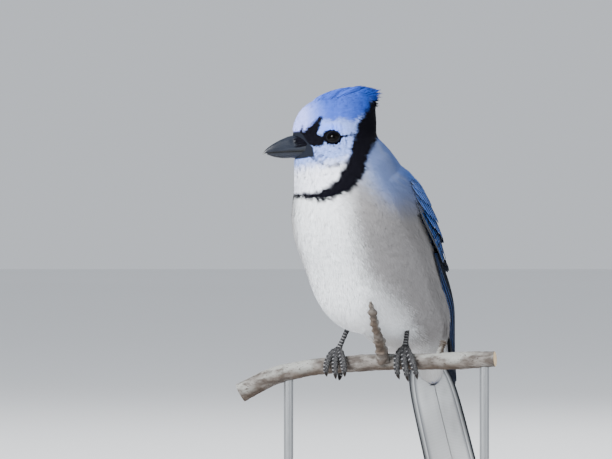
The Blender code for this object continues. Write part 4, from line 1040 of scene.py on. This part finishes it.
def edge_fans(name, count, ends, across, turn_in, length, heights, width, colour_of):
    """Fans rooted round the wing whose tips climb on to it, on both sides.

    heights gives the wing's height over the body at shares along it. A tip lies at that height
    over the wing, and lower the farther it stays outside of the wing, down to none at 9 mm.
    """
    a = rng.uniform(*ends, count)
    a = a[np.argsort(a)]
    c = rng.uniform(*across, count)
    start = beside_wing(a, c)
    ahead = beside_wing(a + 0.06, c + turn_in)
    reach = length * rng.uniform(0.9, 1.1, count)
    tip_a, tip_c = a + reach / WING_LENGTH, c + turn_in * reach / (0.06 * WING_LENGTH)
    aside = np.maximum(np.maximum(-tip_c, tip_c - 1), 0) * 28.0
    outside = np.hypot(np.maximum(-tip_a, 0) * WING_LENGTH, aside)
    over = np.maximum(np.interp(tip_a, *heights) * (1 - outside / 9.0), 0.15) + rng.uniform(-0.1, 0.2, count)
    for side_name, side in (("left", 1), ("right", -1)):
        turn = np.array([1, side, 1])
        root, way = start * turn, unit((ahead - start) * turn)
        colour = colour_of(root + way * 0.7 * reach[:, None], tip_a, tip_c)
        feather_fans(name + "_" + side_name, "plumage_body", root, outward(root), way, reach, width + 0 * a,
                     colour, nearest_uv(root), 0.5 * over, over)


def shoulder_colour(points, a, c):
    """The body's own colour, turning to the coverts' blue over the upper part of the wing."""
    over_wing = step(-0.02 - a, 0.12) * step(0.36 - c, 0.34)
    return mixed(markings(points), SHOULDER_BLUE, over_wing)


def flank_colour(points, a, c):
    """The body's own colour, turning a little darker blue down the wing's lower edge."""
    return mixed(markings(points), NAPE, 0.3 * step(a - 0.04, 0.12))


edge_fans("shoulder", 2100, (-0.26, 0.07), (-0.40, 1.20), 0.0, 10.0,
          ((0.0, 0.08, 0.2), (3.0, 4.9, 5.2)), 0.80, shoulder_colour)
edge_fans("flank", 1700, (-0.05, 0.70), (-0.42, -0.01), 0.022, 10.5,
          ((0.0, 0.1, 0.4), (2.8, 2.6, 2.0)), 0.82, flank_colour)

ANKLES = {"left": (-15.0, 15.5, 27.0), "right": (-1.5, -12.5, 26.0)}
for name, ankle in ANKLES.items():
    count = 170
    place = rng.normal(0, 1.0, (count, 3)) * [3.4, 3.4, 1.0] + ankle + [0.0, 0.0, 2.5]
    for _ in range(2):
        place -= outward(place) * (plumage(place) + 0.5)[:, None]
    way = np.array([-0.20, 0.0, -1.0]) + rng.normal(0, 0.12, (count, 3))
    feather_fans("thigh_" + name, "plumage_body", place, outward(place), way, rng.uniform(4.0, 6.5, count),
                 0.42 + 0 * place[:, 0], markings(place) * rng.uniform(0.92, 1.04, (count, 1)),
                 nearest_uv(place), 0.3 + 0 * place[:, 0], 0.1 + 0 * place[:, 0], wrap=0.0)

# The eyes: dark glass ones, as in a mounted bird, nearly black with a deep brown iris, each
# inside a rim of bare dark skin that stands a little proud of the short feathers.
EYE_RADIUS = 4.3
EYE_SUNK = 2.7
LID_RADIUS = 3.35
LID_FLATTER = 0.90
LID_THICKNESS = 0.5
EYE_SECTORS = 48
LID_SECTORS = 12


def ramp_node(value, stops):
    """Colours at stops of a value, blended between them."""
    node = new_node("ShaderNodeValToRGB", {"Fac": value})
    elements = node.color_ramp.elements
    for element, (at, colour) in zip(elements, (stops[0], stops[-1])):
        element.position, element.color = at, (*colour, 1)
    for at, colour in stops[1:-1]:
        elements.new(at).color = (*colour, 1)
    return node.outputs["Color"]


eye_finish, tree, shader = finish_of("eye_glass", specular=0.0, coat=0.14)
iris = ramp_node(attribute("from_pupil"), (
    (0.40, (0.001, 0.001, 0.001)), (0.46, (0.0020, 0.0012, 0.0009)), (0.80, (0.0014, 0.0009, 0.0007)),
    (0.95, (0.0008, 0.0008, 0.0008)),
))
fibre = noise_node(2600.0, 2.0, object_place(), "Color")
mottle = new_node("ShaderNodeMix", {"Factor": 0.6, 6: iris, 7: fibre},
                  data_type="RGBA", blend_type="MULTIPLY")
tree.links.new(mottle.outputs[2], shader.inputs["Base Color"])
lid_finish, tree, shader = finish_of("lid_skin", 0.6, specular=0.08, colour=(0.003, 0.003, 0.004))
grain = new_node("ShaderNodeTexNoise", {"Scale": 3000.0}).outputs["Fac"]
add_relief(grain, 0.0002)
for name, side in (("left", 1), ("right", -1)):
    start = from_head([[5.7, 0.0, -0.8]])
    aside = from_head([[0.0, side, 0.0]]) - HEAD_CENTRE
    surface = cast(start, aside, np.zeros(1), 30.0)
    out = outward(surface)[0]
    centre = surface[0] - out * EYE_SUNK
    first = unit(np.cross(out, [0.0, 0.0, 1.0]))
    second = np.cross(out, first)
    polar = np.linspace(0, math.pi, 42)[1:-1, None]
    angle = np.linspace(0, 2 * math.pi, EYE_SECTORS, endpoint=False)
    bulge = EYE_RADIUS + 0.28 * np.exp(-((polar / 0.55) ** 2))
    rim = first * np.cos(angle)[:, None] + second * np.sin(angle)[:, None]
    rings = centre + (bulge * np.sin(polar))[..., None] * rim + (bulge * np.cos(polar))[..., None] * out
    eye = closed_tube("eye_" + name + "_ball", rings)
    add_values(eye, "from_pupil", "FLOAT", polar / 0.86 + 0 * angle)
    eye.data.materials.append(eye_finish)
    keep(eye, "eye", "eye_" + name)
    across = first * (np.cos(angle) * LID_RADIUS)[:, None]
    upright = second * (np.sin(angle) * LID_RADIUS * LID_FLATTER)[:, None]
    base = centre + across + upright - out * 6.0
    middle = cast(base, out + 0 * base, np.full(EYE_SECTORS, -0.05), 14.0)
    turn = np.linspace(0, 2 * math.pi, LID_SECTORS, endpoint=False)[:, None]
    beads = 1 + 0.10 * np.sin(angle * 24)[:, None, None]
    section = rim[:, None] * np.cos(turn) + out * np.sin(turn)
    lid_points = (middle[:, None] + LID_THICKNESS * beads * section).reshape(-1, 3)
    faces = grid_quads(EYE_SECTORS + 1, LID_SECTORS) % len(lid_points)
    lid = made_mesh("eyelid_" + name, lid_points, faces)
    lid.data.materials.append(lid_finish)
    keep(lid, "plumage_head")

# The bill: two horny sheaths, slate black with a paler worn tip, the upper one hooked a
# little over the lower. Short black bristles lie forward over the nostrils.
CULMEN = ((10.0, 1.6), (23.6, 0.4), (30.0, -1.6), (36.0, -4.8), (39.6, -7.6), (41.4, -10.0))
UPPER_EDGE = ((10.0, -8.2), (23.6, -8.5), (30.0, -8.8), (36.0, -9.15), (39.6, -9.6), (41.4, -10.2))
LOWER_EDGE = ((10.0, -8.0), (23.6, -8.3), (30.0, -8.6), (35.0, -9.0), (38.6, -9.6))
GONYS = ((10.0, -12.2), (23.6, -12.2), (30.0, -12.3), (35.0, -11.6), (38.6, -10.4))
BILL_WIDTHS = (
    (10.0, 9.6), (13.0, 9.0), (16.0, 7.9), (19.0, 6.6), (23.6, 5.0), (30.0, 3.5), (36.0, 2.2), (39.6, 1.15),
    (41.4, 0.35),
)
BILL_START = 10.0
BILL_LENGTH = 31.4
BRISTLES = 260
bill_finish, tree, shader = finish_of("bill_horn", 0.36, specular=0.22)
place = attribute("bill", "Vector")
horn = ramp_node(parts_of(place)[0], (
    (0.0, (0.0045, 0.0056, 0.0090)), (0.62, (0.0100, 0.0135, 0.0220)), (0.955, (0.0070, 0.0086, 0.0135)),
    (1.0, (0.16, 0.16, 0.155)),
))
stretched = new_node("ShaderNodeMapping", {"Scale": (1.2, 12.0, 1.0), "Vector": place}).outputs["Vector"]
streak = noise_node(4.0, 4.0, stretched)
wear = sum_node("MAXIMUM", sum_node("MULTIPLY_ADD", streak, 3.0, -1.35), 0.0)
worn = mix_node(sum_node("MULTIPLY", wear, 0.6), horn, (0.030, 0.034, 0.042))
# Painted shade: near black along the slit where the two halves of the bill meet
tree.links.new(mix_node(attribute("bite"), worn, (0.002, 0.002, 0.002)), shader.inputs["Base Color"])
add_relief(streak, 0.0002, 0.3)


def mandible(name, node, outer, inner, narrower):
    """Half of the bill: sections between two lines, a rounded roof outside, flat where the halves meet."""
    share = 1 - (1 - np.linspace(0, 1, 56)) ** 1.25
    out_line, in_line = through(outer, share), through(inner, share)
    width = np.interp((out_line[:, 0] + in_line[:, 0]) / 2, *np.transpose(BILL_WIDTHS)) * narrower
    angle = np.linspace(0, 2 * math.pi, 44, endpoint=False)
    side = np.sign(np.cos(angle)) * np.abs(np.cos(angle)) ** 0.85
    lift = np.where(np.sin(angle) > 0, np.sin(angle), 0.04 * np.sin(angle))
    line = in_line[:, None] + lift[:, None] * (out_line - in_line)[:, None]
    points = np.stack([line[..., 0], width[:, None] * side, line[..., 1]], axis=-1)
    if outer is CULMEN:
        for sign in (1, -1):
            pit = np.hypot(points[..., 0] - 25.2, points[..., 2] + 3.2)
            pit = pit * (1 + 9 * (points[..., 1] * sign < 0))
            points[..., 1] -= sign * 0.9 * np.exp(-((pit / 0.95) ** 2))
    half = closed_tube(name, from_head(points))
    along = np.clip((points[..., 0] - BILL_START) / BILL_LENGTH, 0, 1)
    facts = np.stack([along, points[..., 2] / 12, points[..., 1] / 12], axis=-1)
    add_values(half, "bill", "FLOAT_VECTOR", facts)
    # Painted shade: near black on the flat face where the halves meet, fading up the sides
    dark = np.exp(-((np.clip(lift, 0, 1) / (0.05 if outer is CULMEN else 0.22)) ** 2)) + 0 * along
    add_values(half, "bite", "FLOAT", dark)
    half.data.materials.append(bill_finish)
    return keep(half, "bill", node)


mandible("bill_upper_sheath", "bill_upper", CULMEN, UPPER_EDGE, 1.0)
mandible("bill_lower_sheath", "bill_lower", GONYS, LOWER_EDGE, 0.93)
count = BRISTLES
side = rng.choice((-1.0, 1.0), count)
height = rng.uniform(0, 1, count)
root_f = rng.uniform(17.0, 22.5, count) - 2.0 * height
root_u = np.interp(height, (0, 1), (-5.5, 1.6)) + 0.16 * (20 - root_f)
root_l = side * np.interp(root_u, (-6, -2, 1.5, 3), (6.4, 5.2, 3.4, 1.8))
root_l = root_l * np.interp(root_f, (16, 22), (1.15, 0.85))
length = rng.uniform(3.0, 5.5, count) * np.interp(height, (0, 1), (0.75, 1.0))
t = np.linspace(0, 1, 4)
f = root_f[:, None] + length[:, None] * t
u = root_u[:, None] - length[:, None] * (0.14 * t + 0.10 * t**2)
bill_half = np.interp(f, *np.transpose(BILL_WIDTHS))
roof = np.interp(f, (10, 23.6, 30), (1.6, 0.4, -1.6))
share = np.clip((u + 8.5) / (roof + 8.5), -0.2, 0.999)
on_bill = bill_half * np.abs(np.cos(np.arcsin(share))) ** 0.85 + 0.25
l = root_l[:, None] * (1 - t) + (side[:, None] * on_bill) * t
l = np.where(np.abs(l) < on_bill, side[:, None] * on_bill, l)
u = np.where(np.abs(l) < 1.2, np.maximum(u, roof + 0.25), u)
paths = from_head(np.stack([f, l, u], axis=-1))
over_path = from_head(np.stack([0 * f, l, u + 6], axis=-1)) - HEAD_CENTRE
up_side = unit(np.cross(unit(np.gradient(paths, axis=1)), over_path))
widths = 0.42 * np.array((1.0, 0.9, 0.6, 0.08)) * np.ones((count, 1))
colour = BLACK * rng.uniform(0.7, 1.8, (count, 1, 1)) * np.ones((1, 4, 1))
strips("nostril_bristles", paths, up_side, widths, colour, nearest_uv(paths[:, 0]), "plumage_head",
       plumage_finish)

# The perch: a cut length of living branch with lichen-grey bark, one dead spur twig in front
# and a short stub behind. Its sawn ends show pale wood.
PERCH_LINE = (
    (-73, 0, -17.5), (-56, 1, -8.8), (-39, 0.6, -4.4), (-22, 0, -1.9), (0, 0, -0.4),
    (18, 0.2, 0.2), (36, 0, 0.7), (52, -0.6, 1.1), (70, -1.5, 2.2),
)
PERCH_RADII = (5.5, 5.1, 4.7, 4.6, 4.7, 4.6, 4.6, 4.9, 4.3)
PERCH_RADIUS = 4.7
PERCH_YAW = math.radians(-12)
SPUR_LINE = (
    (8.1, -3, 1), (7.8, -8.5, 8), (7.7, -14.5, 13.5), (7.4, -21.5, 19), (7.2, -27.5, 25.5), (6.9, -33.5, 33.5),
)
SPUR_RADII = (3.7, 2.9, 2.4, 1.9, 1.7, 0.7)
STUB_LINE = ((38.0, 0.0, 2.0), (40.0, -0.5, 8.0), (41.5, -1.0, 12.0))
STUB_RADII = (1.7, 1.5, 1.2)
KNUCKLES = ((0.16, 0.05), (0.47, 0.04), (0.79, 0.05), (0.93, 0.04))
BUD_SCARS = (
    # share of the twig's length, swelling, width
    (0.16, 0.18, 0.02), (0.34, 0.30, 0.025), (0.42, 0.16, 0.015), (0.57, 0.26, 0.02), (0.70, 0.42, 0.03),
    (0.78, 0.30, 0.015), (0.86, 0.75, 0.035), (0.95, 0.5, 0.02),
)
PERCH_AXES = np.array([
    [math.cos(PERCH_YAW), math.sin(PERCH_YAW), 0.0],
    [-math.sin(PERCH_YAW), math.cos(PERCH_YAW), 0.0],
    [0.0, 0.0, 1.0],
])


def from_perch(points):
    """The perch's own frame, along the branch and up, to the bird's frame."""
    return np.asarray(points, float) @ PERCH_AXES @ BIRD_AXES.T


def tube_rings(line, radii, count, around, across=(0.0, 0.0, 1.0), swell=None):
    """Rings of a round section along a curve; swell(place, angle) scales each point's radius."""
    at = np.linspace(0, 1, count)
    centres = through(line, at)
    along = unit(through(line, np.clip(at + 0.02, 0, 1)) - through(line, np.clip(at - 0.02, 0, 1)))
    side = unit(np.cross(along, across))
    up = np.cross(side, along)
    radius = np.interp(at, np.linspace(0, 1, len(radii)), radii)[:, None] + np.zeros(around)
    angle = np.linspace(0, 2 * math.pi, around, endpoint=False)
    if swell is not None:
        radius = radius * swell(at[:, None], angle[None])
    ring = side[:, None] * np.cos(angle)[:, None] + up[:, None] * np.sin(angle)[:, None]
    return centres[:, None] + ring * radius[..., None]


def bark_swell(place, angle):
    """Low swellings along the branch, four knuckles, and fine wrinkles round it."""
    rough = 0.020 * np.sin(31 * place + 2 * np.sin(angle + 9 * place))
    rough = rough + 0.018 * np.sin(3 * angle + 17 * place)
    fine = 0.010 * np.sin(190 * place + 3 * np.sin(2 * angle))
    fine = fine + 0.008 * np.sin(9 * angle + 40 * np.sin(7 * place))
    knuckle = sum(h * np.exp(-(((place - p) / 0.016) ** 2)) for p, h in KNUCKLES)
    return 1 + rough + fine + knuckle - 0.03


def twig_swell(place, angle):
    """Rings of old bud scars, thick and close towards the tip."""
    scars = sum(h * np.exp(-(((place - p) / w) ** 2)) for p, h, w in BUD_SCARS)
    return 1 + scars * (1 + 0.35 * np.sin(2 * angle + 23 * place)) + 0.06 * np.sin(4 * angle + 60 * place)


def between(value, low, high):
    """0 below low, 1 above high, and straight between."""
    share = sum_node("MULTIPLY_ADD", value, 1 / (high - low), -low / (high - low))
    return sum_node("MINIMUM", sum_node("MAXIMUM", share, 0.0), 1.0)


bark_finish, tree, shader = finish_of("lichen_bark", 0.88)
along_branch = new_node("ShaderNodeMapping", {
    "Rotation": (0, 0, -PERCH_YAW), "Scale": (0.45, 1.0, 1.0), "Vector": object_place(),
}).outputs["Vector"]
patches = noise_node(95.0, 4.0, along_branch)
streaks = noise_node(330.0, 4.0, along_branch)
specks = noise_node(1500.0, 2.0, along_branch)
bark = mix_node(between(streaks, 0.40, 0.62), (0.052, 0.043, 0.037), (0.150, 0.140, 0.130))
bark = mix_node(between(patches, 0.52, 0.60), bark, (0.215, 0.218, 0.207))
bark = mix_node(between(specks, 0.60, 0.72), bark, (0.022, 0.016, 0.013))
# Darker brown under the branch where lichen thins: partly the bark's own brown, partly painted shade
brown = mix_node(streaks, (0.022, 0.015, 0.011), (0.085, 0.062, 0.045))
bark = mix_node(sum_node("MULTIPLY", attribute("underside"), between(patches, 0.36, 0.52)), bark, brown)
bark = mix_node(attribute("sawn"), bark, mix_node(specks, (0.50, 0.36, 0.20), (0.66, 0.52, 0.33)))
tree.links.new(bark, shader.inputs["Base Color"])
add_relief(sum_node("ADD", streaks, sum_node("MULTIPLY", specks, 0.5)), 0.0007, 0.8)


def bark_piece(name, rings, end_rows, *nodes):
    """A bark tube whose first and last rows turn in to a flat sawn end."""
    middle = rings.mean(axis=1, keepdims=True)
    inner = [middle[0] + (rings[0] - middle[0]) * k for k in (0.06, 0.5, 0.96)]
    outer = [middle[-1] + (rings[-1] - middle[-1]) * k for k in (0.96, 0.5, 0.06)]
    whole = np.concatenate([np.array(inner), rings, np.array(outer)])
    piece = closed_tube(name, from_perch(whole))
    up = whole[..., 2] - whole[..., 2].mean(axis=1, keepdims=True)
    span = np.maximum(np.abs(up).max(axis=1, keepdims=True), 1e-6)
    sawn = np.zeros(up.shape)
    sawn[:end_rows] = sawn[len(sawn) - end_rows:] = 1.0
    # Weight for the darker brown under the branch, partly painted shade
    add_values(piece, "underside", "FLOAT", np.clip(0.25 - up / span, 0, 1))
    add_values(piece, "sawn", "FLOAT", sawn)
    piece.data.materials.append(bark_finish)
    return keep(piece, "bark", *nodes)


bark_piece("perch_bark", tube_rings(PERCH_LINE, PERCH_RADII, 420, 72, swell=bark_swell), 3, "perch_branch")
bark_piece("spur_twig", tube_rings(SPUR_LINE, SPUR_RADII, 150, 32, (0.0, 1.0, 0.0), twig_swell), 0)
bark_piece("stub_twig", tube_rings(STUB_LINE, STUB_RADII, 60, 28, (0.0, 1.0, 0.0), twig_swell), 0)

# Legs and feet: slim bare shanks and four toes each, three over the front of the perch and
# one behind, all sheathed in overlapping dark scutes whose edges carry a painted highlight,
# each with a hooked claw.
FEET = {"left": 19.7, "right": -18.0}
TOE_RADIUS = 1.6
TOE_SPREADS = (-4.7, 0.1, 4.9)
TOE_LEANS = {"left": 2.4, "right": 0.0}
TOE_OPENING = np.array([0.0, 0.45, 0.8, 1.0, 1.08, 1.05])
TOE_LEANING = np.array([0.0, 0.0, 0.25, 0.55, 0.85, 1.0])
TOE_SINKING = np.array([0.0, 0.0, 0.0, 0.3, 0.7, 1.0])
TOE_SECTORS = 28
FRONT_TOE_RADII = (2.1, 1.95, 1.8, 1.7, 1.45)
BACK_TOE_RADII = (2.1, 1.9, 1.75, 1.65, 1.4)
CLAW_RADII = (1.3, 1.15, 0.8, 0.12)
TOE_PATHS = {
    "left": ((0.8, 0.6), (-3.8, -0.9), (-7.0, -4.4), (-7.6, -8.8), (-6.6, -13.0), (-3.9, -16.2)),
    "right": ((0.8, 0.9), (-3.6, 0.0), (-7.2, -3.2), (-8.4, -6.6), (-8.0, -10.2), (-6.0, -13.2)),
}
BACK_TOE_PATH = ((-0.8, 0.6), (3.8, -0.9), (6.7, -4.4), (7.3, -8.6), (5.6, -13.2), (3.0, -15.4))
GAP = 0.3
horn_finish, tree, shader = finish_of("scaly_horn", 0.55, specular=0.12)
lip, on_pad, _ = parts_of(attribute("scute", "Vector"))
place = object_place()
grain = noise_node(1800.0, 3.0, place)
horn = mix_node(grain, (0.005, 0.0055, 0.007), (0.022, 0.022, 0.024))
# Painted highlight: the lip of each scute is pale grey
scute_painted_highlight = mix_node(between(lip, 0.66, 0.88), horn, (0.19, 0.19, 0.195))
cells = new_node("ShaderNodeTexVoronoi", {"Scale": 1500.0, "Vector": place}, feature="DISTANCE_TO_EDGE")
pads = mix_node(between(cells.outputs["Distance"], 0.02, 0.12), (0.10, 0.10, 0.10), (0.014, 0.014, 0.016))
tree.links.new(mix_node(on_pad, scute_painted_highlight, pads), shader.inputs["Base Color"])
add_relief(grain, 0.0002, 0.5)
claw_finish, tree, shader = finish_of("claw_horn", 0.3, specular=0.2)
claw = mix_node(noise_node(700.0, 3.0, object_place()), (0.004, 0.004, 0.005), (0.018, 0.016, 0.015))
tree.links.new(claw, shader.inputs["Base Color"])


def perch_point(x):
    """The middle of the branch at a place along it."""
    line = through(PERCH_LINE, np.linspace(0, 1, 400))
    return np.array([np.interp(x, line[:, 0], line[:, i]) for i in range(3)])


def scaled_tube(line, radii, count, scutes, across=(1.0, 0.0, 0.0), front=1.0):
    """A tube with scutes over its front half, each rising to a lip over the next, and pads behind."""
    def swell(at, angle):
        within = np.mod(at * scutes, 1.0)
        on_front = np.clip(0.5 + front * 1.2 * np.sin(angle), 0, 1)
        return 1 + 0.17 * (within**1.5 - 0.4) * on_front + 0.05 * np.sin(3 * angle + 40 * at) * (1 - on_front)

    rings = tube_rings(line, radii, count, TOE_SECTORS, across, swell)
    middle = rings.mean(axis=1, keepdims=True)
    ends = middle + (rings - middle) * 0.3
    rings = np.concatenate([ends[:1], rings, ends[-1:]])
    at = np.clip(np.concatenate([[0.0], np.linspace(0, 1, count), [1.0]]), 0, 0.999)[:, None]
    angle = np.linspace(0, 2 * math.pi, TOE_SECTORS, endpoint=False)[None]
    pads = np.clip(0.5 - front * 1.6 * np.sin(angle), 0, 1) + 0 * at
    facts = np.stack([np.mod(at * scutes, 1.0) * (1 - pads), pads, 0 * pads], axis=-1)
    return rings, facts


def joined_tubes(name, tubes, finish, slot, *nodes):
    """One object from several closed tubes with the same number of points round them."""
    points, faces, base = [], [], 0
    around = tubes[0][0].shape[1]
    for rings, _ in tubes:
        rows = len(rings)
        points.append(rings.reshape(-1, 3))
        faces.append(grid_quads(rows, around) + base)
        base += rows * around
    caps, base = [], 0
    for rings, _ in tubes:
        caps.append(np.arange(around)[::-1] + base)
        base += len(rings) * around
        caps.append(np.arange(around) + base - around)
    piece = made_mesh(name, np.concatenate(points), np.concatenate(faces), caps)
    add_values(piece, "scute", "FLOAT_VECTOR", np.concatenate([facts.reshape(-1, 3) for _, facts in tubes]))
    piece.data.materials.append(finish)
    return keep(piece, slot, *nodes)


for name, x in FEET.items():
    centre = perch_point(x)
    reach = PERCH_RADIUS + GAP + TOE_RADIUS
    toes, claws, paths = [], [], []
    for spread, lower in zip(TOE_SPREADS, (0.0, 1.3, 0.0)):
        apart = spread * TOE_OPENING + TOE_LEANS[name] * TOE_LEANING
        away, up = np.transpose(TOE_PATHS[name])
        drop = lower * TOE_SINKING
        paths.append((np.column_stack([apart, away, reach + up - drop]), FRONT_TOE_RADII))
    away, up = np.transpose(BACK_TOE_PATH)
    paths.append((np.column_stack([0 * away, away, reach + up]), BACK_TOE_RADII))
    for path, radii in paths:
        front = 1.0 if path[2][1] > 0 else -1.0
        rings, facts = scaled_tube(through(path, np.linspace(0, 0.80, 9)), radii, 90, 9, front=front)
        toes.append((from_perch(centre + rings), facts))
        claw_line = through(path, np.linspace(0.74, 1.0, 7))
        rings = tube_rings(claw_line, CLAW_RADII, 24, TOE_SECTORS, (1.0, 0.0, 0.0))
        claws.append((from_perch(centre + rings), np.zeros(rings.shape)))
    top = from_perch(centre + [0.0, 0.0, reach + 1.2])
    knuckle = np.linspace(0, math.pi, 20)[1:-1, None]
    angle = np.linspace(0, 2 * math.pi, TOE_SECTORS, endpoint=False)
    ball = [np.sin(knuckle) * np.cos(angle), np.sin(knuckle) * np.sin(angle), np.cos(knuckle) + 0 * angle]
    ball = np.stack(ball, axis=-1)
    toes.append((top + 2.25 * ball[::-1], np.zeros(ball.shape)))
    way = np.array(ANKLES[name]) - top
    shank = (top + unit(way) * 0.4, top + way * 0.33, top + way * 0.66, top + way * 1.25)
    shank_rings, facts = scaled_tube(shank, (1.75, 1.35, 1.35, 1.4, 1.8), 110, 12)
    joined_tubes("toes_" + name, toes, horn_finish, "horn", "foot_" + name)
    joined_tubes("shank_" + name, [(shank_rings, facts)], horn_finish, "horn", "leg_" + name)
    joined_tubes("claws_" + name, claws, claw_finish, "horn")

# The stand: a plain oiled hardwood board with eased edges, and two brushed steel rods that
# are let into it and hold the branch from below. Both keep their solids.
wood_finish, tree, shader = finish_of("oiled_wood", 0.42, coat=0.12)
grain_way = new_node("ShaderNodeMapping", {
    "Scale": (1.0, 9.0, 9.0), "Location": (0.0, 0.35, 0.2), "Vector": object_place(),
}).outputs["Vector"]
rings = sum_node("SINE", sum_node("MULTIPLY", noise_node(14.0, 3.0, grain_way), 42.0))
pores = noise_node(160.0, 5.0, grain_way)
board = mix_node(sum_node("MULTIPLY_ADD", rings, 0.5, 0.5), (0.155, 0.074, 0.034), (0.27, 0.145, 0.070))
board = mix_node(between(pores, 0.52, 0.72), board, (0.07, 0.032, 0.016))
tree.links.new(board, shader.inputs["Base Color"])
add_relief(pores, 0.0003, 0.25)
steel_finish, tree, shader = finish_of("brushed_steel", metallic=1.0)
brushing = new_node("ShaderNodeMapping", {
    "Scale": (60.0, 60.0, 2.0), "Vector": object_place(),
}).outputs["Vector"]
lines = noise_node(60.0, 4.0, brushing)
tree.links.new(mix_node(lines, (0.23, 0.24, 0.25), (0.33, 0.34, 0.35)), shader.inputs["Base Color"])
tree.links.new(sum_node("MULTIPLY_ADD", lines, 0.25, 0.22), shader.inputs["Roughness"])
for node, finish in (
    ("stand_base", wood_finish), ("stand_rod_left", steel_finish), ("stand_rod_right", steel_finish),
):
    bpy.data.objects[node].material_slots[0].material = finish
